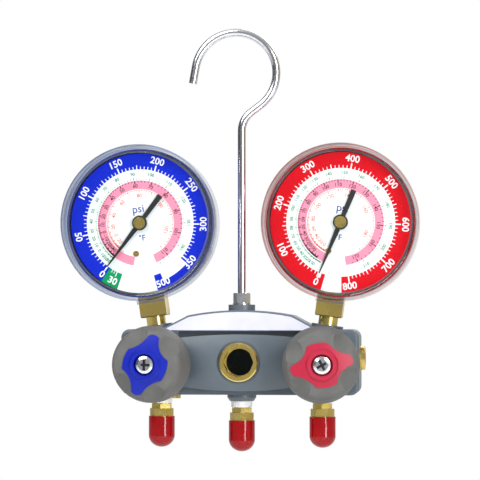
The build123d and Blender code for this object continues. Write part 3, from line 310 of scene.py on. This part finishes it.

# %% [markdown]
# The cross recess is painted dark, as painted shade that deepens below the crown. The mask is how far a point
# lies below the head's crown, along the valve's axis, which leans outward.

# %% Screw heads
VALVE_SPLAY = radians(5.5)
CROWN_DEPTH = 0.6      # mm: what lies this near the head's front is its crown
RECESS_START, RECESS_DEPTH, RECESS_REACH = 0.5, 1.0, 3.1       # mm
# the colour of the painted shade in the cross recess
RECESS_SHADE = (0.11, 0.11, 0.12)


def screw_head(name):
    """Plating with painted shade darkening its cross recess."""
    screw = zinc_plate(f"{name}_screw_plating", (0.90, 0.92, 0.96), (0.70, 0.73, 0.79), 0.12, (1.0, 1.0, 1.0))
    corners = [vertex.co for vertex in nodes[f"{name}_knob_screw"].data.vertices]
    front = min(corner.y for corner in corners)
    crown = [corner for corner in corners if corner.y < front + CROWN_DEPTH * MM]
    middle = Vector([(min(c[k] for c in crown) + max(c[k] for c in crown)) / 2 for k in range(3)])
    middle.y = front
    lean = SIDES[name] * VALVE_SPLAY
    offset = screw.place.minus(middle)
    sunk = offset.dot((-sin(lean), cos(lean), 0)) / MM
    across = offset.dot((cos(lean), sin(lean), 0)) / MM
    upward = offset.dot((0, 0, 1)) / MM
    inside = (across * across + upward * upward) < RECESS_REACH ** 2
    # painted shade: the deeper inside the cross recess, the darker the plating is painted
    recess_shade = inside * screw.ramp(sunk, RECESS_START, RECESS_START + RECESS_DEPTH)
    screw.feed("Base Color", screw.blend(recess_shade, screw.fed("Base Color"), RECESS_SHADE))
    return screw


for name in SIDES:
    dress(screw_head(name), f"{name}_knob_screw")

# %% [markdown]
# ## Knobs
# The grips are moulded in a soft grey plastic with a spark-eroded texture, and dust lodges in it, so
# they look mottled. The coloured inlays are a harder, glossier plastic with only a light haze of
# scratches.

# %% Moulded plastics
def grip_plastic():
    grip = Finish("moulded_grey_grip", (0.12, 0.12, 0.115), Roughness=0.62, Specular_IOR_Level=0.3)
    mottle = grip.ramp(grip.noise(110, 4, rough=0.6), 0.3, 0.7)
    eroded = grip.noise(2600, 3, rough=0.7)
    tone = grip.blend(mottle, (0.104, 0.105, 0.102), (0.136, 0.135, 0.130))
    grip.feed("Base Color", grip.blend(eroded * 0.3, tone, (0.075, 0.075, 0.073)))
    grip.feed("Roughness", 0.50 + mottle * 0.18)
    grip.bump(eroded, 0.00012)
    return grip


def inlay_plastic(name, colour, deep):
    inlay = Finish(name, colour, Roughness=0.34, Specular_IOR_Level=0.35)
    haze = inlay.noise(150, 4)
    scratch = inlay.noise(1900, 2, stretch=(0.2, 1.0, 1.0))
    inlay.feed("Base Color", inlay.blend(haze, deep, colour))
    inlay.feed("Roughness", 0.30 + scratch * 0.20)
    inlay.bump(scratch, 0.00003)
    return inlay


dress(grip_plastic(), "low_knob_grip", "high_knob_grip")
dress(inlay_plastic("moulded_blue", (0.0, 0.012, 0.36), (0.0, 0.008, 0.28)), "low_knob_inlay")
dress(inlay_plastic("moulded_red", (0.42, 0.012, 0.045), (0.34, 0.008, 0.030)), "high_knob_inlay")

# %% [markdown]
# ## Caps and seals
# The port caps are dipped vinyl: deep red, wet-looking, and slightly uneven where the dip ran down.
# The rings above the fittings are white nylon, and the seals behind glass and piston are rubber.

# %% Vinyl, nylon and rubber
def dipped_vinyl():
    vinyl = Finish("dipped_red_vinyl", (0.32, 0.0, 0.003), Roughness=0.12, Specular_IOR_Level=0.38)
    run = vinyl.noise(170, 3, stretch=(1.0, 1.0, 0.4))
    vinyl.feed("Base Color", vinyl.blend(run, (0.23, 0.0, 0.001), (0.34, 0.0, 0.003)))
    vinyl.feed("Roughness", 0.07 + run * 0.08)
    vinyl.bump(run, 0.0002)
    return vinyl


def plain_moulding(name, dark, light, rough):
    moulding = Finish(name, light, Roughness=rough)
    cloud = moulding.noise(420, 3)
    moulding.feed("Base Color", moulding.blend(cloud, dark, light))
    moulding.feed("Roughness", rough + cloud * 0.12)
    return moulding


dress(dipped_vinyl(), "low_port_cap", "centre_port_cap", "high_port_cap")
dress(plain_moulding("white_nylon", (0.74, 0.74, 0.72), (0.88, 0.88, 0.87), 0.36), "port_seal_rings")
dress(plain_moulding("black_rubber", (0.015, 0.015, 0.016), (0.04, 0.04, 0.042), 0.6),
      "sight_glass_seal", "low_piston_o_rings", "high_piston_o_rings")

# %% [markdown]
# ## Gauge shells
# Each movement sits in a steel cup enamelled in its side's colour, behind a clear polycarbonate lens
# with a deep skirt. A thin clear shell is best made from a Transparent shader mixed with a glossy
# one: the mix follows the Fresnel effect, so it is almost invisible face on and mirrors at its
# edges. A tint in the case's colour is painted into its thick rim, as painted refraction of the case.

# %% Enamel
def enamel(name, colour, deep):
    coat = Finish(name, colour, Roughness=0.22, Coat_Weight=0.4, Coat_Roughness=0.1)
    peel = coat.noise(900, 2)
    drift = coat.noise(50, 2)
    coat.feed("Base Color", coat.blend(drift, deep, colour))
    coat.feed("Roughness", 0.18 + drift * 0.12)
    coat.bump(peel, 0.00005)
    return coat


dress(enamel("blue_enamel", (0.008, 0.045, 0.42), (0.004, 0.025, 0.30)), "low_gauge_case")
dress(enamel("red_enamel", (0.62, 0.008, 0.016), (0.45, 0.004, 0.010)), "high_gauge_case")

# %% [markdown]
# The lens needs to know how far each point lies from the dial's centre, because its rolled rim bends
# the light into rings, which are painted on. Two ramps over the rim's width give them: one is the
# painted glare of each ring, the other how much painted refraction of the case's colour each ring shows.

# %% Clear shells
RIM_START, RIM_END = 37.3, 42.0      # mm from the dial's centre
# painted shade: the rim's case-coloured tint is strongest around this bearing
SHADED_BEARING = -60                 # degrees from the top, where the rim is darkest


def on_dial(finish, name):
    """Each point's distance in mm from a dial's centre, and its bearing in degrees from the top."""
    here = finish.place.minus(box_middle(f"{name}_gauge_dial"))
    lean = SIDES[name] * GAUGE_LEAN
    across = here.dot((cos(lean), 0, -sin(lean))) / MM
    upward = here.dot((sin(lean), 0, cos(lean))) / MM
    distance = (across * across + upward * upward) ** 0.5
    return distance, across.math("ARCTAN2", across, upward) * degrees(1)


def see_through(finish, tint, thick_tint, thick, glare):
    """Puts a clear shader under a finish's gloss: thick is the share of thick tint, glare of gloss."""
    def clear(colour):
        return finish.place.node("ShaderNodeBsdfTransparent", {}, {"Color": (*colour, 1)})

    body = finish.place.node("ShaderNodeMixShader", {}, {0: thick, 1: clear(tint), 2: clear(thick_tint)})
    gloss = Wire(finish.tree, finish.shader.outputs[0])
    mixed = finish.place.node("ShaderNodeMixShader", {}, {0: glare, 1: body, 2: gloss})
    finish.tree.links.new(mixed.socket, finish.tree.nodes["Material Output"].inputs["Surface"])


# painted light on the rim, across its width from 0 to 1: glare rings, then rings of painted case colour
RIM_GLARE = [(0.00, 0.0), (0.08, 0.42), (0.22, 0.50), (0.30, 0.10), (0.50, 0.08), (0.58, 0.40), (0.74, 0.46),
             (0.82, 0.06), (0.94, 0.06), (1.00, 0.45)]
RIM_SHADE = [(0.00, 0.0), (0.24, 0.1), (0.32, 0.85), (0.52, 0.75), (0.60, 0.15), (0.76, 0.1), (0.84, 1.0),
             (0.94, 0.9), (1.00, 0.1)]


def gauge_lens(name, case_refraction_tint):
    """Clear polycarbonate with painted glare and painted refraction rings on its rim."""
    lens = Finish(f"{name}_clear_polycarbonate", (0.86, 0.88, 0.92), Metallic=1.0, Roughness=0.05)
    distance, bearing = on_dial(lens, name)
    rim = lens.ramp(distance, RIM_START, RIM_END)

    def rings(levels):
        stops = [(place, (value, value, value, 1)) for place, value in levels]
        return rim.node("ShaderNodeValToRGB", {"stops": stops}, {0: rim})

    # painted glare, broken into streaks, and painted shade on one side of the rim
    streaks = lens.ramp(lens.noise(60, 3), 0.35, 0.7)
    turn = (bearing - SHADED_BEARING) * radians(1)
    shaded_side = turn.math("COSINE", turn) * 0.3 + 0.7
    lens.feed("Roughness", 0.04 + lens.noise(70, 3) * 0.04)
    grazing = lens.place.node("ShaderNodeFresnel", {}, {"IOR": 1.45})
    see_through(lens, (0.998, 1.0, 1.0), case_refraction_tint, rings(RIM_SHADE) * shaded_side,
                grazing * 0.35 + rings(RIM_GLARE) * (0.5 + streaks * 0.5))
    return lens


def small_glass():
    """The sight glass: a disc of toughened glass over a dark chamber."""
    glass = Finish("sight_glass", (0.5, 0.55, 0.54), Metallic=1.0, Roughness=0.04)
    film = glass.noise(300, 3)
    glass.feed("Roughness", 0.03 + film * 0.05)
    grazing = glass.place.node("ShaderNodeFresnel", {}, {"IOR": 1.5})
    see_through(glass, (0.40, 0.46, 0.44), (0.25, 0.30, 0.28), film, grazing)
    return glass


# each lens's rim tint is painted refraction of its case's colour
dress(gauge_lens("low", (0.30, 0.42, 0.66)), "low_gauge_lens")
dress(gauge_lens("high", (0.66, 0.34, 0.32)), "high_gauge_lens")
dress(small_glass(), "sight_glass_lens")

# %% [markdown]
# ## The dials' bands
# A printed dial is a set of rings and sectors, so its colours are worked out from each point's
# distance and bearing from the centre. Bearings run clockwise from the top of the dial, which leans
# with its gauge. Masks are products of comparisons. Later rings are printed over earlier ones.

# %% Printed bands
BAND_INNER, BAND_OUTER = 29.0, 37.6       # mm, the coloured pressure band
MINT_INNER = 23.0
PINK_INNER = 18.3
PINK_START, PINK_END = -163.5, 165.3      # degrees
MINT_MARGIN = 12                          # how much sooner the mint ring ends, both ways
THIN_RING, THIN_RING_WIDTH = 17.7, 0.25
THIN_START, THIN_END = -143.5, 140.3
DIAL_WHITE = (0.86, 0.92, 0.94)
MINT, PINK, ORANGE = (0.76, 0.88, 0.85), (0.84, 0.28, 0.40), (0.85, 0.24, 0.08)


def dial_print(name, patches):
    """The dial's flat colours; patches are (colour, inner, outer, start, end) rings in mm and degrees."""
    ink = Finish(f"{name}_dial_print", DIAL_WHITE, Roughness=0.42, Specular_IOR_Level=0.15)
    distance, bearing = on_dial(ink, name)
    colour = DIAL_WHITE
    rings = [(MINT, MINT_INNER, BAND_INNER, PINK_START + MINT_MARGIN, PINK_END - MINT_MARGIN),
             (PINK, PINK_INNER, MINT_INNER, PINK_START, PINK_END),
             (ORANGE, THIN_RING, THIN_RING + THIN_RING_WIDTH, THIN_START, THIN_END)]
    for shade, inner, outer, start, end in rings + patches:
        mask = (distance > inner) * (distance < outer) * (bearing > start) * (bearing < end)
        colour = ink.blend(mask, colour, shade)
    ink.feed("Base Color", colour)
    ink.feed("Roughness", 0.36 + ink.noise(200, 3) * 0.12)
    return ink


BLUE_INK, RED_INK, GREEN_INK = (0.0, 0.018, 0.54), (0.62, 0.0, 0.008), (0.0, 0.30, 0.10)
VACUUM_START, VACUUM_END, LOW_END = -152.8, -138.0, 173.0      # degrees: green, then blue up to here
RETARD_START, RETARD_END, RETARD_OUTER = 138.5, 165.5, 33.2    # a white strip inside the blue
HIGH_END = 171.5
ZERO_START, ZERO_END, ZERO_DEPTH = -167.5, -163.5, 2.6         # a white gap at the red band's zero
dress(dial_print("low", [
    (BLUE_INK, BAND_INNER, BAND_OUTER, VACUUM_END, LOW_END),
    (DIAL_WHITE, BAND_INNER, RETARD_OUTER, RETARD_START, RETARD_END),
    (GREEN_INK, BAND_INNER, BAND_OUTER, VACUUM_START, VACUUM_END),
]), "low_gauge_dial")
dress(dial_print("high", [
    (RED_INK, BAND_INNER, BAND_OUTER, -HIGH_END, HIGH_END),
    (DIAL_WHITE, BAND_INNER, BAND_INNER + ZERO_DEPTH, ZERO_START, ZERO_END),
]), "high_gauge_dial")

# %% [markdown]
# ## Scale marks
# The scales have a few hundred ticks between them, which is what Geometry Nodes are for. Python only
# says where each tick starts, which way it points, and how long and wide it is; those are stored as
# attributes on loose vertices. The tree puts a thin bar on each one, then makes the bars real.

# %% The tick tree
TICK_HEIGHT = 0.05 * MM


def tick_tree():
    """Loose points with turn, length and width attributes become bars of printed ink."""
    tree = bpy.data.node_groups.new("dial_ticks", "GeometryNodeTree")
    for label, kind, way in (("Geometry", "Geometry", "INPUT"), ("Ink height", "Float", "INPUT"),
                             ("Ink", "Material", "INPUT"), ("Geometry", "Geometry", "OUTPUT")):
        tree.interface.new_socket(label, in_out=way, socket_type=f"NodeSocket{kind}")
    start, end = tree.nodes.new("NodeGroupInput"), tree.nodes.new("NodeGroupOutput")

    def attribute(label):
        node = tree.nodes.new("GeometryNodeInputNamedAttribute")
        node.data_type = "FLOAT"
        node.inputs["Name"].default_value = label
        return node.outputs["Attribute"]

    def vector(x, y, z):
        node = tree.nodes.new("ShaderNodeCombineXYZ")
        for socket, value in zip(node.inputs, (x, y, z)):
            if value is not None:
                tree.links.new(value, socket)
        return node.outputs[0]

    bar = tree.nodes.new("GeometryNodeMeshCube")
    raised = tree.nodes.new("GeometryNodeTransform")
    raised.inputs["Translation"].default_value = (0, 0, 0.5)
    tree.links.new(bar.outputs["Mesh"], raised.inputs["Geometry"])
    place = tree.nodes.new("GeometryNodeInstanceOnPoints")
    points = tree.nodes.new("GeometryNodeMeshToPoints")
    real, ink = tree.nodes.new("GeometryNodeRealizeInstances"), tree.nodes.new("GeometryNodeSetMaterial")
    link = tree.links.new
    link(start.outputs["Geometry"], points.inputs["Mesh"])
    link(points.outputs["Points"], place.inputs["Points"])
    link(raised.outputs["Geometry"], place.inputs["Instance"])
    link(vector(None, attribute("turn"), None), place.inputs["Rotation"])
    link(vector(attribute("width"), start.outputs["Ink height"], attribute("length")), place.inputs["Scale"])
    link(place.outputs["Instances"], real.inputs["Geometry"])
    link(real.outputs["Geometry"], ink.inputs["Geometry"])
    link(start.outputs["Ink"], ink.inputs["Material"])
    link(ink.outputs["Geometry"], end.inputs["Geometry"])
    return tree


TICKS = tick_tree()
print("tick tree has", len(TICKS.nodes), "nodes")

# %% [markdown]
# The tree's result is turned into a plain mesh at once, and the modifier goes. Its inputs are set by
# their identifiers, because a name needn't be unique.

# %% Ticks made real
def set_input(modifier, label, value):
    """Sets a node tree's input by the identifier behind its name."""
    for item in modifier.node_group.interface.items_tree:
        if item.item_type == "SOCKET" and item.in_out == "INPUT" and item.name == label:
            modifier[item.identifier] = value


def shown(piece):
    """Puts a new object in the scene."""
    bpy.context.collection.objects.link(piece)
    return piece


def settled(piece, name):
    """A plain copy of the piece's evaluated mesh, with no modifier left."""
    bpy.context.view_layer.update()
    mesh = bpy.data.meshes.new_from_object(piece.evaluated_get(bpy.context.evaluated_depsgraph_get()))
    bpy.data.objects.remove(piece)
    mesh.name = name
    return shown(bpy.data.objects.new(name, mesh))


def tick_marks(name, marks, ink):
    """Makes ticks from (bearing, start radius, length, width) rows, in degrees and mm."""
    mesh = bpy.data.meshes.new(name)
    rows = [(radians(bearing), *[size * MM for size in sizes]) for bearing, *sizes in marks]
    mesh.from_pydata([(start * sin(turn), 0, start * cos(turn)) for turn, start, *_ in rows], [], [])
    for label, column in (("turn", 0), ("length", 2), ("width", 3)):
        layer = mesh.attributes.new(label, "FLOAT", "POINT")
        layer.data.foreach_set("value", [row[column] for row in rows])
    piece = shown(bpy.data.objects.new(name, mesh))
    modifier = piece.modifiers.new("ticks", "NODES")
    modifier.node_group = TICKS
    set_input(modifier, "Ink height", TICK_HEIGHT)
    set_input(modifier, "Ink", ink.material)
    return settled(piece, name)


print("ticks stand", TICK_HEIGHT / MM, "mm proud")

# %% [markdown]
# Numerals are text turned to mesh. In the upper half each stands with its foot towards the centre,
# and in the lower half with its head there, so that none is upside down. All of one ink on one dial
# are joined into one piece.

# %% Numerals
DIGIT_SHARE = 0.7       # of the type size, the height of a digit


def words(text, height, bearing=None, radius=0.0, up=0.0, bold=0.0):
    """A mesh of some words: on a bearing and radius, or straight above the centre."""
    curve = bpy.data.curves.new("words", "FONT")
    curve.body = text
    curve.size = height / DIGIT_SHARE * MM
    curve.align_x = curve.align_y = "CENTER"
    curve.resolution_u = 3
    curve.extrude = TICK_HEIGHT / 2
    curve.offset = bold * MM
    piece = shown(bpy.data.objects.new("words", curve))
    piece = settled(piece, "words")
    upright = Matrix.Rotation(radians(90), 4, "X")
    if bearing is None:
        spot = Matrix.Translation((0, 0, up * MM))
    else:
        spot = Matrix.Rotation(radians(bearing), 4, "Y") @ Matrix.Translation((0, 0, radius * MM))
        if abs(bearing) > 90:
            spot = spot @ Matrix.Rotation(pi, 4, "Y")
    mesh = piece.data
    mesh.transform(spot @ upright)
    bpy.data.objects.remove(piece)
    return mesh


def joined(name, meshes, ink, place):
    """One piece from several meshes, set in its place, with an ink."""
    shape = bmesh.new()
    for mesh in meshes:
        shape.from_mesh(mesh)
    mesh = bpy.data.meshes.new(name)
    shape.to_mesh(mesh)
    shape.free()
    mesh.transform(place)
    mesh.materials.append(ink.material)
    return shown(bpy.data.objects.new(name, mesh))


sample = words("800", 1.0)
print("three digits have", len(sample.polygons), "faces")
bpy.data.meshes.remove(sample)

# %% [markdown]
# A pressure scale's ticks are almost even, closing up slightly towards its top. The temperature
# scales inside it show where a refrigerant boils: the logarithm of absolute pressure falls with one
# over absolute temperature, so each scale needs only two constants.

# %% The scales
ATMOSPHERE, ABSOLUTE_ZERO = 14.7, -459.67      # psi and degrees Fahrenheit
MAJOR_TICK, MIDDLE_TICK, FINE_TICK = (3.0, 0.70), (2.2, 0.45), (1.5, 0.38)      # mm long and wide
TEN_LONGER, TEN_WIDER = 1.8, 1.4               # a tick for ten degrees, against the others
TICK_GAPS, LABEL_GAPS = (0, 4), (4, 8)         # degrees clear of zero and of the scale's end
SCALES = {  # bearing of zero, degrees for each step, loss for each step squared, psi for each step
    "low": (-135.0, 41.0, 0.33, 50.0),
    "high": (-165.2, 42.9, 0.22, 100.0),
}


def bearing_of(name, pressure):
    """Where on a dial a pressure in psi lies, in degrees."""
    zero, rate, loss, step = SCALES[name]
    count = pressure / step
    return zero + rate * count - loss * count * count


def boiling_pressure(fahrenheit, level, slope):
    """The gauge pressure in psi at which a fluid boils at a temperature."""
    return exp(level - slope / (fahrenheit - ABSOLUTE_ZERO)) - ATMOSPHERE


def pressure_ticks(name, top, fine, medium):
    """The white ticks at the inner edge of the coloured band."""
    step = SCALES[name][3]
    rows = []
    for count in range(int(top / fine) + 1):
        pressure = count * fine
        major, middle = pressure % step == 0, pressure % medium == 0
        size = MAJOR_TICK if major else MIDDLE_TICK if middle else FINE_TICK
        rows.append((bearing_of(name, pressure), BAND_INNER, *size))
    return rows


def boiling_bearings(name, fluid, temperatures, gaps):
    """Temperatures and their bearings, from zero to the scale's end less the gaps."""
    low, high = SCALES[name][0] + gaps[0], PINK_END - gaps[1]
    rows = [(t, bearing_of(name, boiling_pressure(t, *fluid))) for t in temperatures]
    return [row for row in rows if low < row[1] < high]


def boiling_ticks(name, scale, temperatures):
    """The ticks of a temperature scale, inward or outward from its radius."""
    rows = []
    for temperature, bearing in boiling_bearings(name, scale["fluid"], temperatures, TICK_GAPS):
        longer, wider = (TEN_LONGER, TEN_WIDER) if temperature % 10 == 0 else (1, 1)
        length = scale["length"] * longer
        start = scale["radius"] - length if scale["inward"] else scale["radius"]
        rows.append((bearing, start, length, scale["width"] * wider))
    return rows


def boiling_labels(name, scale, temperatures):
    """The numbers of a temperature scale."""
    return [words(str(temperature), scale["label_height"], bearing, scale["label_radius"], bold=SMALL_BOLD)
            for temperature, bearing in boiling_bearings(name, scale["fluid"], temperatures, LABEL_GAPS)]


for name, scale in SCALES.items():
    step = scale[3]
    print(name, "scale: zero at", bearing_of(name, 0), "degrees,", step, "psi at", bearing_of(name, step))

# %% [markdown]
# Inks are flat, but not perfectly: a fine noise thins them here and there. Each ink on a dial prints
# the ticks and the numbers of its own scale.

# %% Inks
def ink(name, colour):
    """Printing ink of a colour."""
    made = Finish(name, colour, Roughness=0.4, Specular_IOR_Level=0.15)
    thin = made.noise(1500, 2)
    paler = tuple(c + (1 - c) * 0.10 for c in colour)
    made.feed("Base Color", made.blend(made.ramp(thin, 0.5, 0.8), colour, paler))
    return made


INKS = {
    "white": ink("white_ink", (0.90, 0.92, 0.94)),
    "green": ink("green_ink", (0.0, 0.19, 0.07)),
    "black": ink("black_ink", (0.015, 0.010, 0.015)),
    "orange": ink("orange_ink", (0.72, 0.09, 0.015)),
    "navy": ink("navy_ink", (0.02, 0.03, 0.30)),
}
print("inks:", *INKS)

# %% [markdown]
# The last code for the dials is a plan: what each scale counts in, and how large its marks are. The
# small lettering is a little bolder than the font, so that it holds at arm's length.

# %% Printed scales
TEMPERATURE_SCALES = {  # fluid is the level and slope of a boiling curve, sizes are in mm
    "green": dict(fluid=(13.137, 4358.0), radius=23.4, length=0.60, width=0.28, inward=False,
                  labels="tens", label_radius=26.5, label_height=1.7),
    "black": dict(fluid=(13.44, 4273.0), radius=22.9, length=0.90, width=0.40, inward=True,
                  labels="tens", label_radius=20.1, label_height=1.9),
    "orange": dict(fluid=(13.28, 4330.0), radius=THIN_RING, length=0.70, width=0.30, inward=True,
                   labels="few", label_radius=14.7, label_height=2.0),
}
DETAIL = {  # top, fine, medium and numbers are in psi, the rest in degrees Fahrenheit
    "low": dict(top=350, fine=5, medium=25, numbers=(0, 50, 100, 150, 200, 250, 300, 350),
                degrees=range(-60, 160, 2), tens=range(-40, 150, 10), few=range(-40, 150, 20)),
    "high": dict(top=800, fine=10, medium=50, numbers=(0, 100, 200, 300, 400, 500, 600, 700, 800),
                 degrees=range(-20, 220, 2), tens=range(0, 220, 10), few=range(0, 220, 20)),
}
NUMERAL_RADIUS, NUMERAL_HEIGHT = 34.4, 3.6
NUMERAL_BOLD, LEGEND_BOLD, SMALL_BOLD = 0.10, 0.05, 0.04       # mm added all round each stroke
OFF_SCALE = [("500", 166.5), ("30", -146.2)]                   # the low dial's ends, and their bearings
VACUUM_TICKS = [(-141.5, BAND_INNER, 1.6, 0.3), (-144.2, BAND_INNER, 1.6, 0.3),
                (-146.9, BAND_INNER, 2.6, 0.45)]
LEGENDS = [("psi", 4.2, 7.6), ("°F", 3.0, -8.2)]               # height, and how far above the centre


def print_dial(name):
    """All the marks of one dial, one piece for each ink."""
    plan = DETAIL[name]
    labels = [(str(pressure), bearing_of(name, pressure)) for pressure in plan["numbers"]]
    marks = pressure_ticks(name, plan["top"], plan["fine"], plan["medium"])
    if name == "low":
        labels += OFF_SCALE
        marks += VACUUM_TICKS
    numerals = [words(label, NUMERAL_HEIGHT, bearing, NUMERAL_RADIUS, bold=NUMERAL_BOLD)
                for label, bearing in labels]
    groups = {"white": (marks, numerals)}
    for shade, scale in TEMPERATURE_SCALES.items():
        groups[shade] = (boiling_ticks(name, scale, plan["degrees"]),
                         boiling_labels(name, scale, plan[scale["labels"]]))
    place = dial_place(name)
    for shade, (rows, meshes) in groups.items():
        ticks = tick_marks("ticks", rows, INKS[shade])
        meshes.insert(0, ticks.data)
        bpy.data.objects.remove(ticks)
        piece = joined(f"{name}_{shade}_marks", meshes, INKS[shade], place)
        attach(piece, "manifold")
        print(piece.name, len(piece.data.polygons), "faces")
    legend = [words(text, height, up=up, bold=LEGEND_BOLD) for text, height, up in LEGENDS]
    piece = joined(f"{name}_legend", legend, INKS["navy"], place)
    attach(piece, "manifold")
    print(piece.name, len(piece.data.polygons), "faces")


for name in SIDES:
    print_dial(name)

# %% [markdown]
# ## Pointers
# The pointers are stamped and dipped black: matt, with a little dust.

# %% Black pointers
def pointer_black():
    black = Finish("pointer_black", (0.012, 0.012, 0.012), Roughness=0.5)
    dust = black.ramp(black.noise(700, 4), 0.55, 0.8)
    black.feed("Base Color", black.blend(dust * 0.25, (0.010, 0.010, 0.011), (0.10, 0.10, 0.10)))
    black.feed("Roughness", 0.42 + dust * 0.2)
    return black


dress(pointer_black(), "low_pointer", "high_pointer")

# %% [markdown]
# ## Floor, lights and camera
# The manifold hangs in front of a white sweep, which the camera and see-through rays find plain
# white. Glossy rays find a studio that darkens to the left, below and towards the camera, and turns
# warm at the right, which gives the round brass and the hook their edges. All others find a soft dome.

# %% White surroundings
def white_world():
    world = bpy.data.worlds.new("studio")
    world.use_nodes = True
    tree = world.node_tree
    tree.nodes.clear()
    path = tree.nodes.new("ShaderNodeLightPath")
    start = Wire(tree, path.outputs["Is Camera Ray"])
    seen = start.math("MAXIMUM", start, Wire(tree, path.outputs["Is Transmission Ray"]))
    direction = start.node("ShaderNodeTexCoord", {}, {}, "Generated")

    def shade(axis, stops):
        level = direction.dot(axis) * 0.5 + 0.5
        return start.node("ShaderNodeValToRGB", {"stops": stops}, {0: level})

    def grey(value):
        return value, value, value, 1

    def product(first, second):
        return start.node("ShaderNodeMix", {"data_type": "RGBA", "blend_type": "MULTIPLY"},
                          {0: 1.0, 6: first, 7: second}, 2)

    across = shade((1, 0, 0), [(0.0, (0.10, 0.10, 0.12, 1)), (0.22, grey(0.30)), (0.42, grey(0.95)),
                               (0.75, grey(0.9)), (0.9, (0.75, 0.66, 0.48, 1)), (1.0, (0.5, 0.42, 0.30, 1))])
    depth = shade((0, 1, 0), [(0.0, grey(0.34)), (0.25, grey(0.50)), (0.6, grey(0.9)), (1.0, grey(1.0))])
    upward = shade((0, 0, 1), [(0.0, grey(0.5)), (0.42, grey(0.55)), (0.5, grey(0.85)), (1.0, grey(1.0))])
    mirrored = product(product(across, depth), upward)
    dome = shade((0, 0, 1), [(0.0, grey(0.40)), (0.5, grey(0.48)), (1.0, grey(0.66))])

    def background(colour):
        return start.node("ShaderNodeBackground", {}, {"Color": colour, "Strength": 1.0})

    glossy = Wire(tree, path.outputs["Is Glossy Ray"])
    studio = start.node("ShaderNodeMixShader", {}, {0: glossy, 1: background(dome), 2: background(mirrored)})
    mixed = start.node("ShaderNodeMixShader", {}, {0: seen, 1: studio, 2: background((1, 1, 1, 1))})
    output = tree.nodes.new("ShaderNodeOutputWorld")
    tree.links.new(mixed.socket, output.inputs["Surface"])
    bpy.context.scene.world = world
    return world


print("studio has", len(white_world().node_tree.nodes), "nodes")

# %% [markdown]
# The floor lies well below, pale and plain. The camera sees it as white, like the sweep behind, while
# other rays find a matt surface that sends a little light up.

# %% Floor
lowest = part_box("centre_port_cap")[0].z
FLOOR_DROP, FLOOR_HALF = 0.22, 6.0


def pale_floor():
    mesh = bpy.data.meshes.new("floor")
    half = FLOOR_HALF
    mesh.from_pydata([(-half, -half, 0), (half, -half, 0), (half, half, 0), (-half, half, 0)], [],
                     [(0, 1, 2, 3)])
    mesh.transform(Matrix.Translation((0, 0, lowest - FLOOR_DROP)))
    floor = shown(bpy.data.objects.new("floor", mesh))
    material = bpy.data.materials.new("pale_floor")
    material.use_nodes = True
    tree = material.node_tree
    shader = tree.nodes["Principled BSDF"]
    shader.inputs["Base Color"].default_value = (0.8, 0.8, 0.8, 1)
    shader.inputs["Roughness"].default_value = 0.9
    seen = Wire(tree, tree.nodes.new("ShaderNodeLightPath").outputs["Is Camera Ray"])
    white = seen.node("ShaderNodeEmission", {}, {"Color": (1, 1, 1, 1), "Strength": 1.0})
    mixed = seen.node("ShaderNodeMixShader", {}, {0: seen, 1: Wire(tree, shader.outputs[0]), 2: white})
    tree.links.new(mixed.socket, tree.nodes["Material Output"].inputs["Surface"])
    mesh.materials.append(material)


pale_floor()
print("floor at", round((lowest - FLOOR_DROP) / MM), "mm")

# %% [markdown]
# A tall softbox at the front right draws the upright highlight on the caps and fittings, a broad one
# from the upper left fills the faces, and a strip behind lifts the edges.

# %% Lamps
TARGET = Vector((-0.0010, 0, -0.1100))


def outward(azimuth, elevation):
    """The direction from the object to a lamp or the camera: azimuth 0 is the front."""
    a, e = radians(azimuth), radians(elevation)
    return Vector((sin(a) * cos(e), -cos(a) * cos(e), sin(e)))


def softbox(name, azimuth, elevation, distance, wide, high, power):
    """A rectangular lamp that faces the object."""
    lamp = bpy.data.lights.new(name, "AREA")
    lamp.shape = "RECTANGLE"
    lamp.size, lamp.size_y = wide, high
    lamp.energy = power
    piece = shown(bpy.data.objects.new(name, lamp))
    back = outward(azimuth, elevation)
    facing = back.to_track_quat("Z", "Y").to_matrix().to_4x4()
    piece.matrix_world = Matrix.Translation(TARGET + back * distance) @ facing
    print(name, power, "W")


softbox("tall_right", 36, 8, 1.1, 0.22, 0.9, 8.5)
softbox("broad_left", -38, 42, 1.2, 0.8, 0.8, 12.5)
softbox("back_strip", 160, 35, 1.2, 0.8, 0.3, 5)

# %% [markdown]
# The camera stands slightly to the right and a touch low, far enough back for a long lens, and the
# frame spans about 259 mm at the object.

# %% Camera
CAMERA_AZIMUTH, CAMERA_ELEVATION, CAMERA_DISTANCE = 6.0, -2.0, 1.15
FRAME_WIDTH = 0.2592


def front_camera():
    """The camera, turned towards the object."""
    camera = bpy.data.cameras.new("camera")
    camera.sensor_width = 36.0
    camera.lens = camera.sensor_width * CAMERA_DISTANCE / FRAME_WIDTH
    piece = shown(bpy.data.objects.new("camera", camera))
    back = outward(CAMERA_AZIMUTH, CAMERA_ELEVATION)
    piece.rotation_mode = "QUATERNION"
    piece.location = TARGET + back * CAMERA_DISTANCE
    piece.rotation_quaternion = (-back).to_track_quat("-Z", "Y")
    bpy.context.scene.camera = piece
    return camera


print("lens", round(front_camera().lens), "mm")
bpy.context.scene.view_settings.view_transform = "Standard"

# %% Finish
print("scene built")
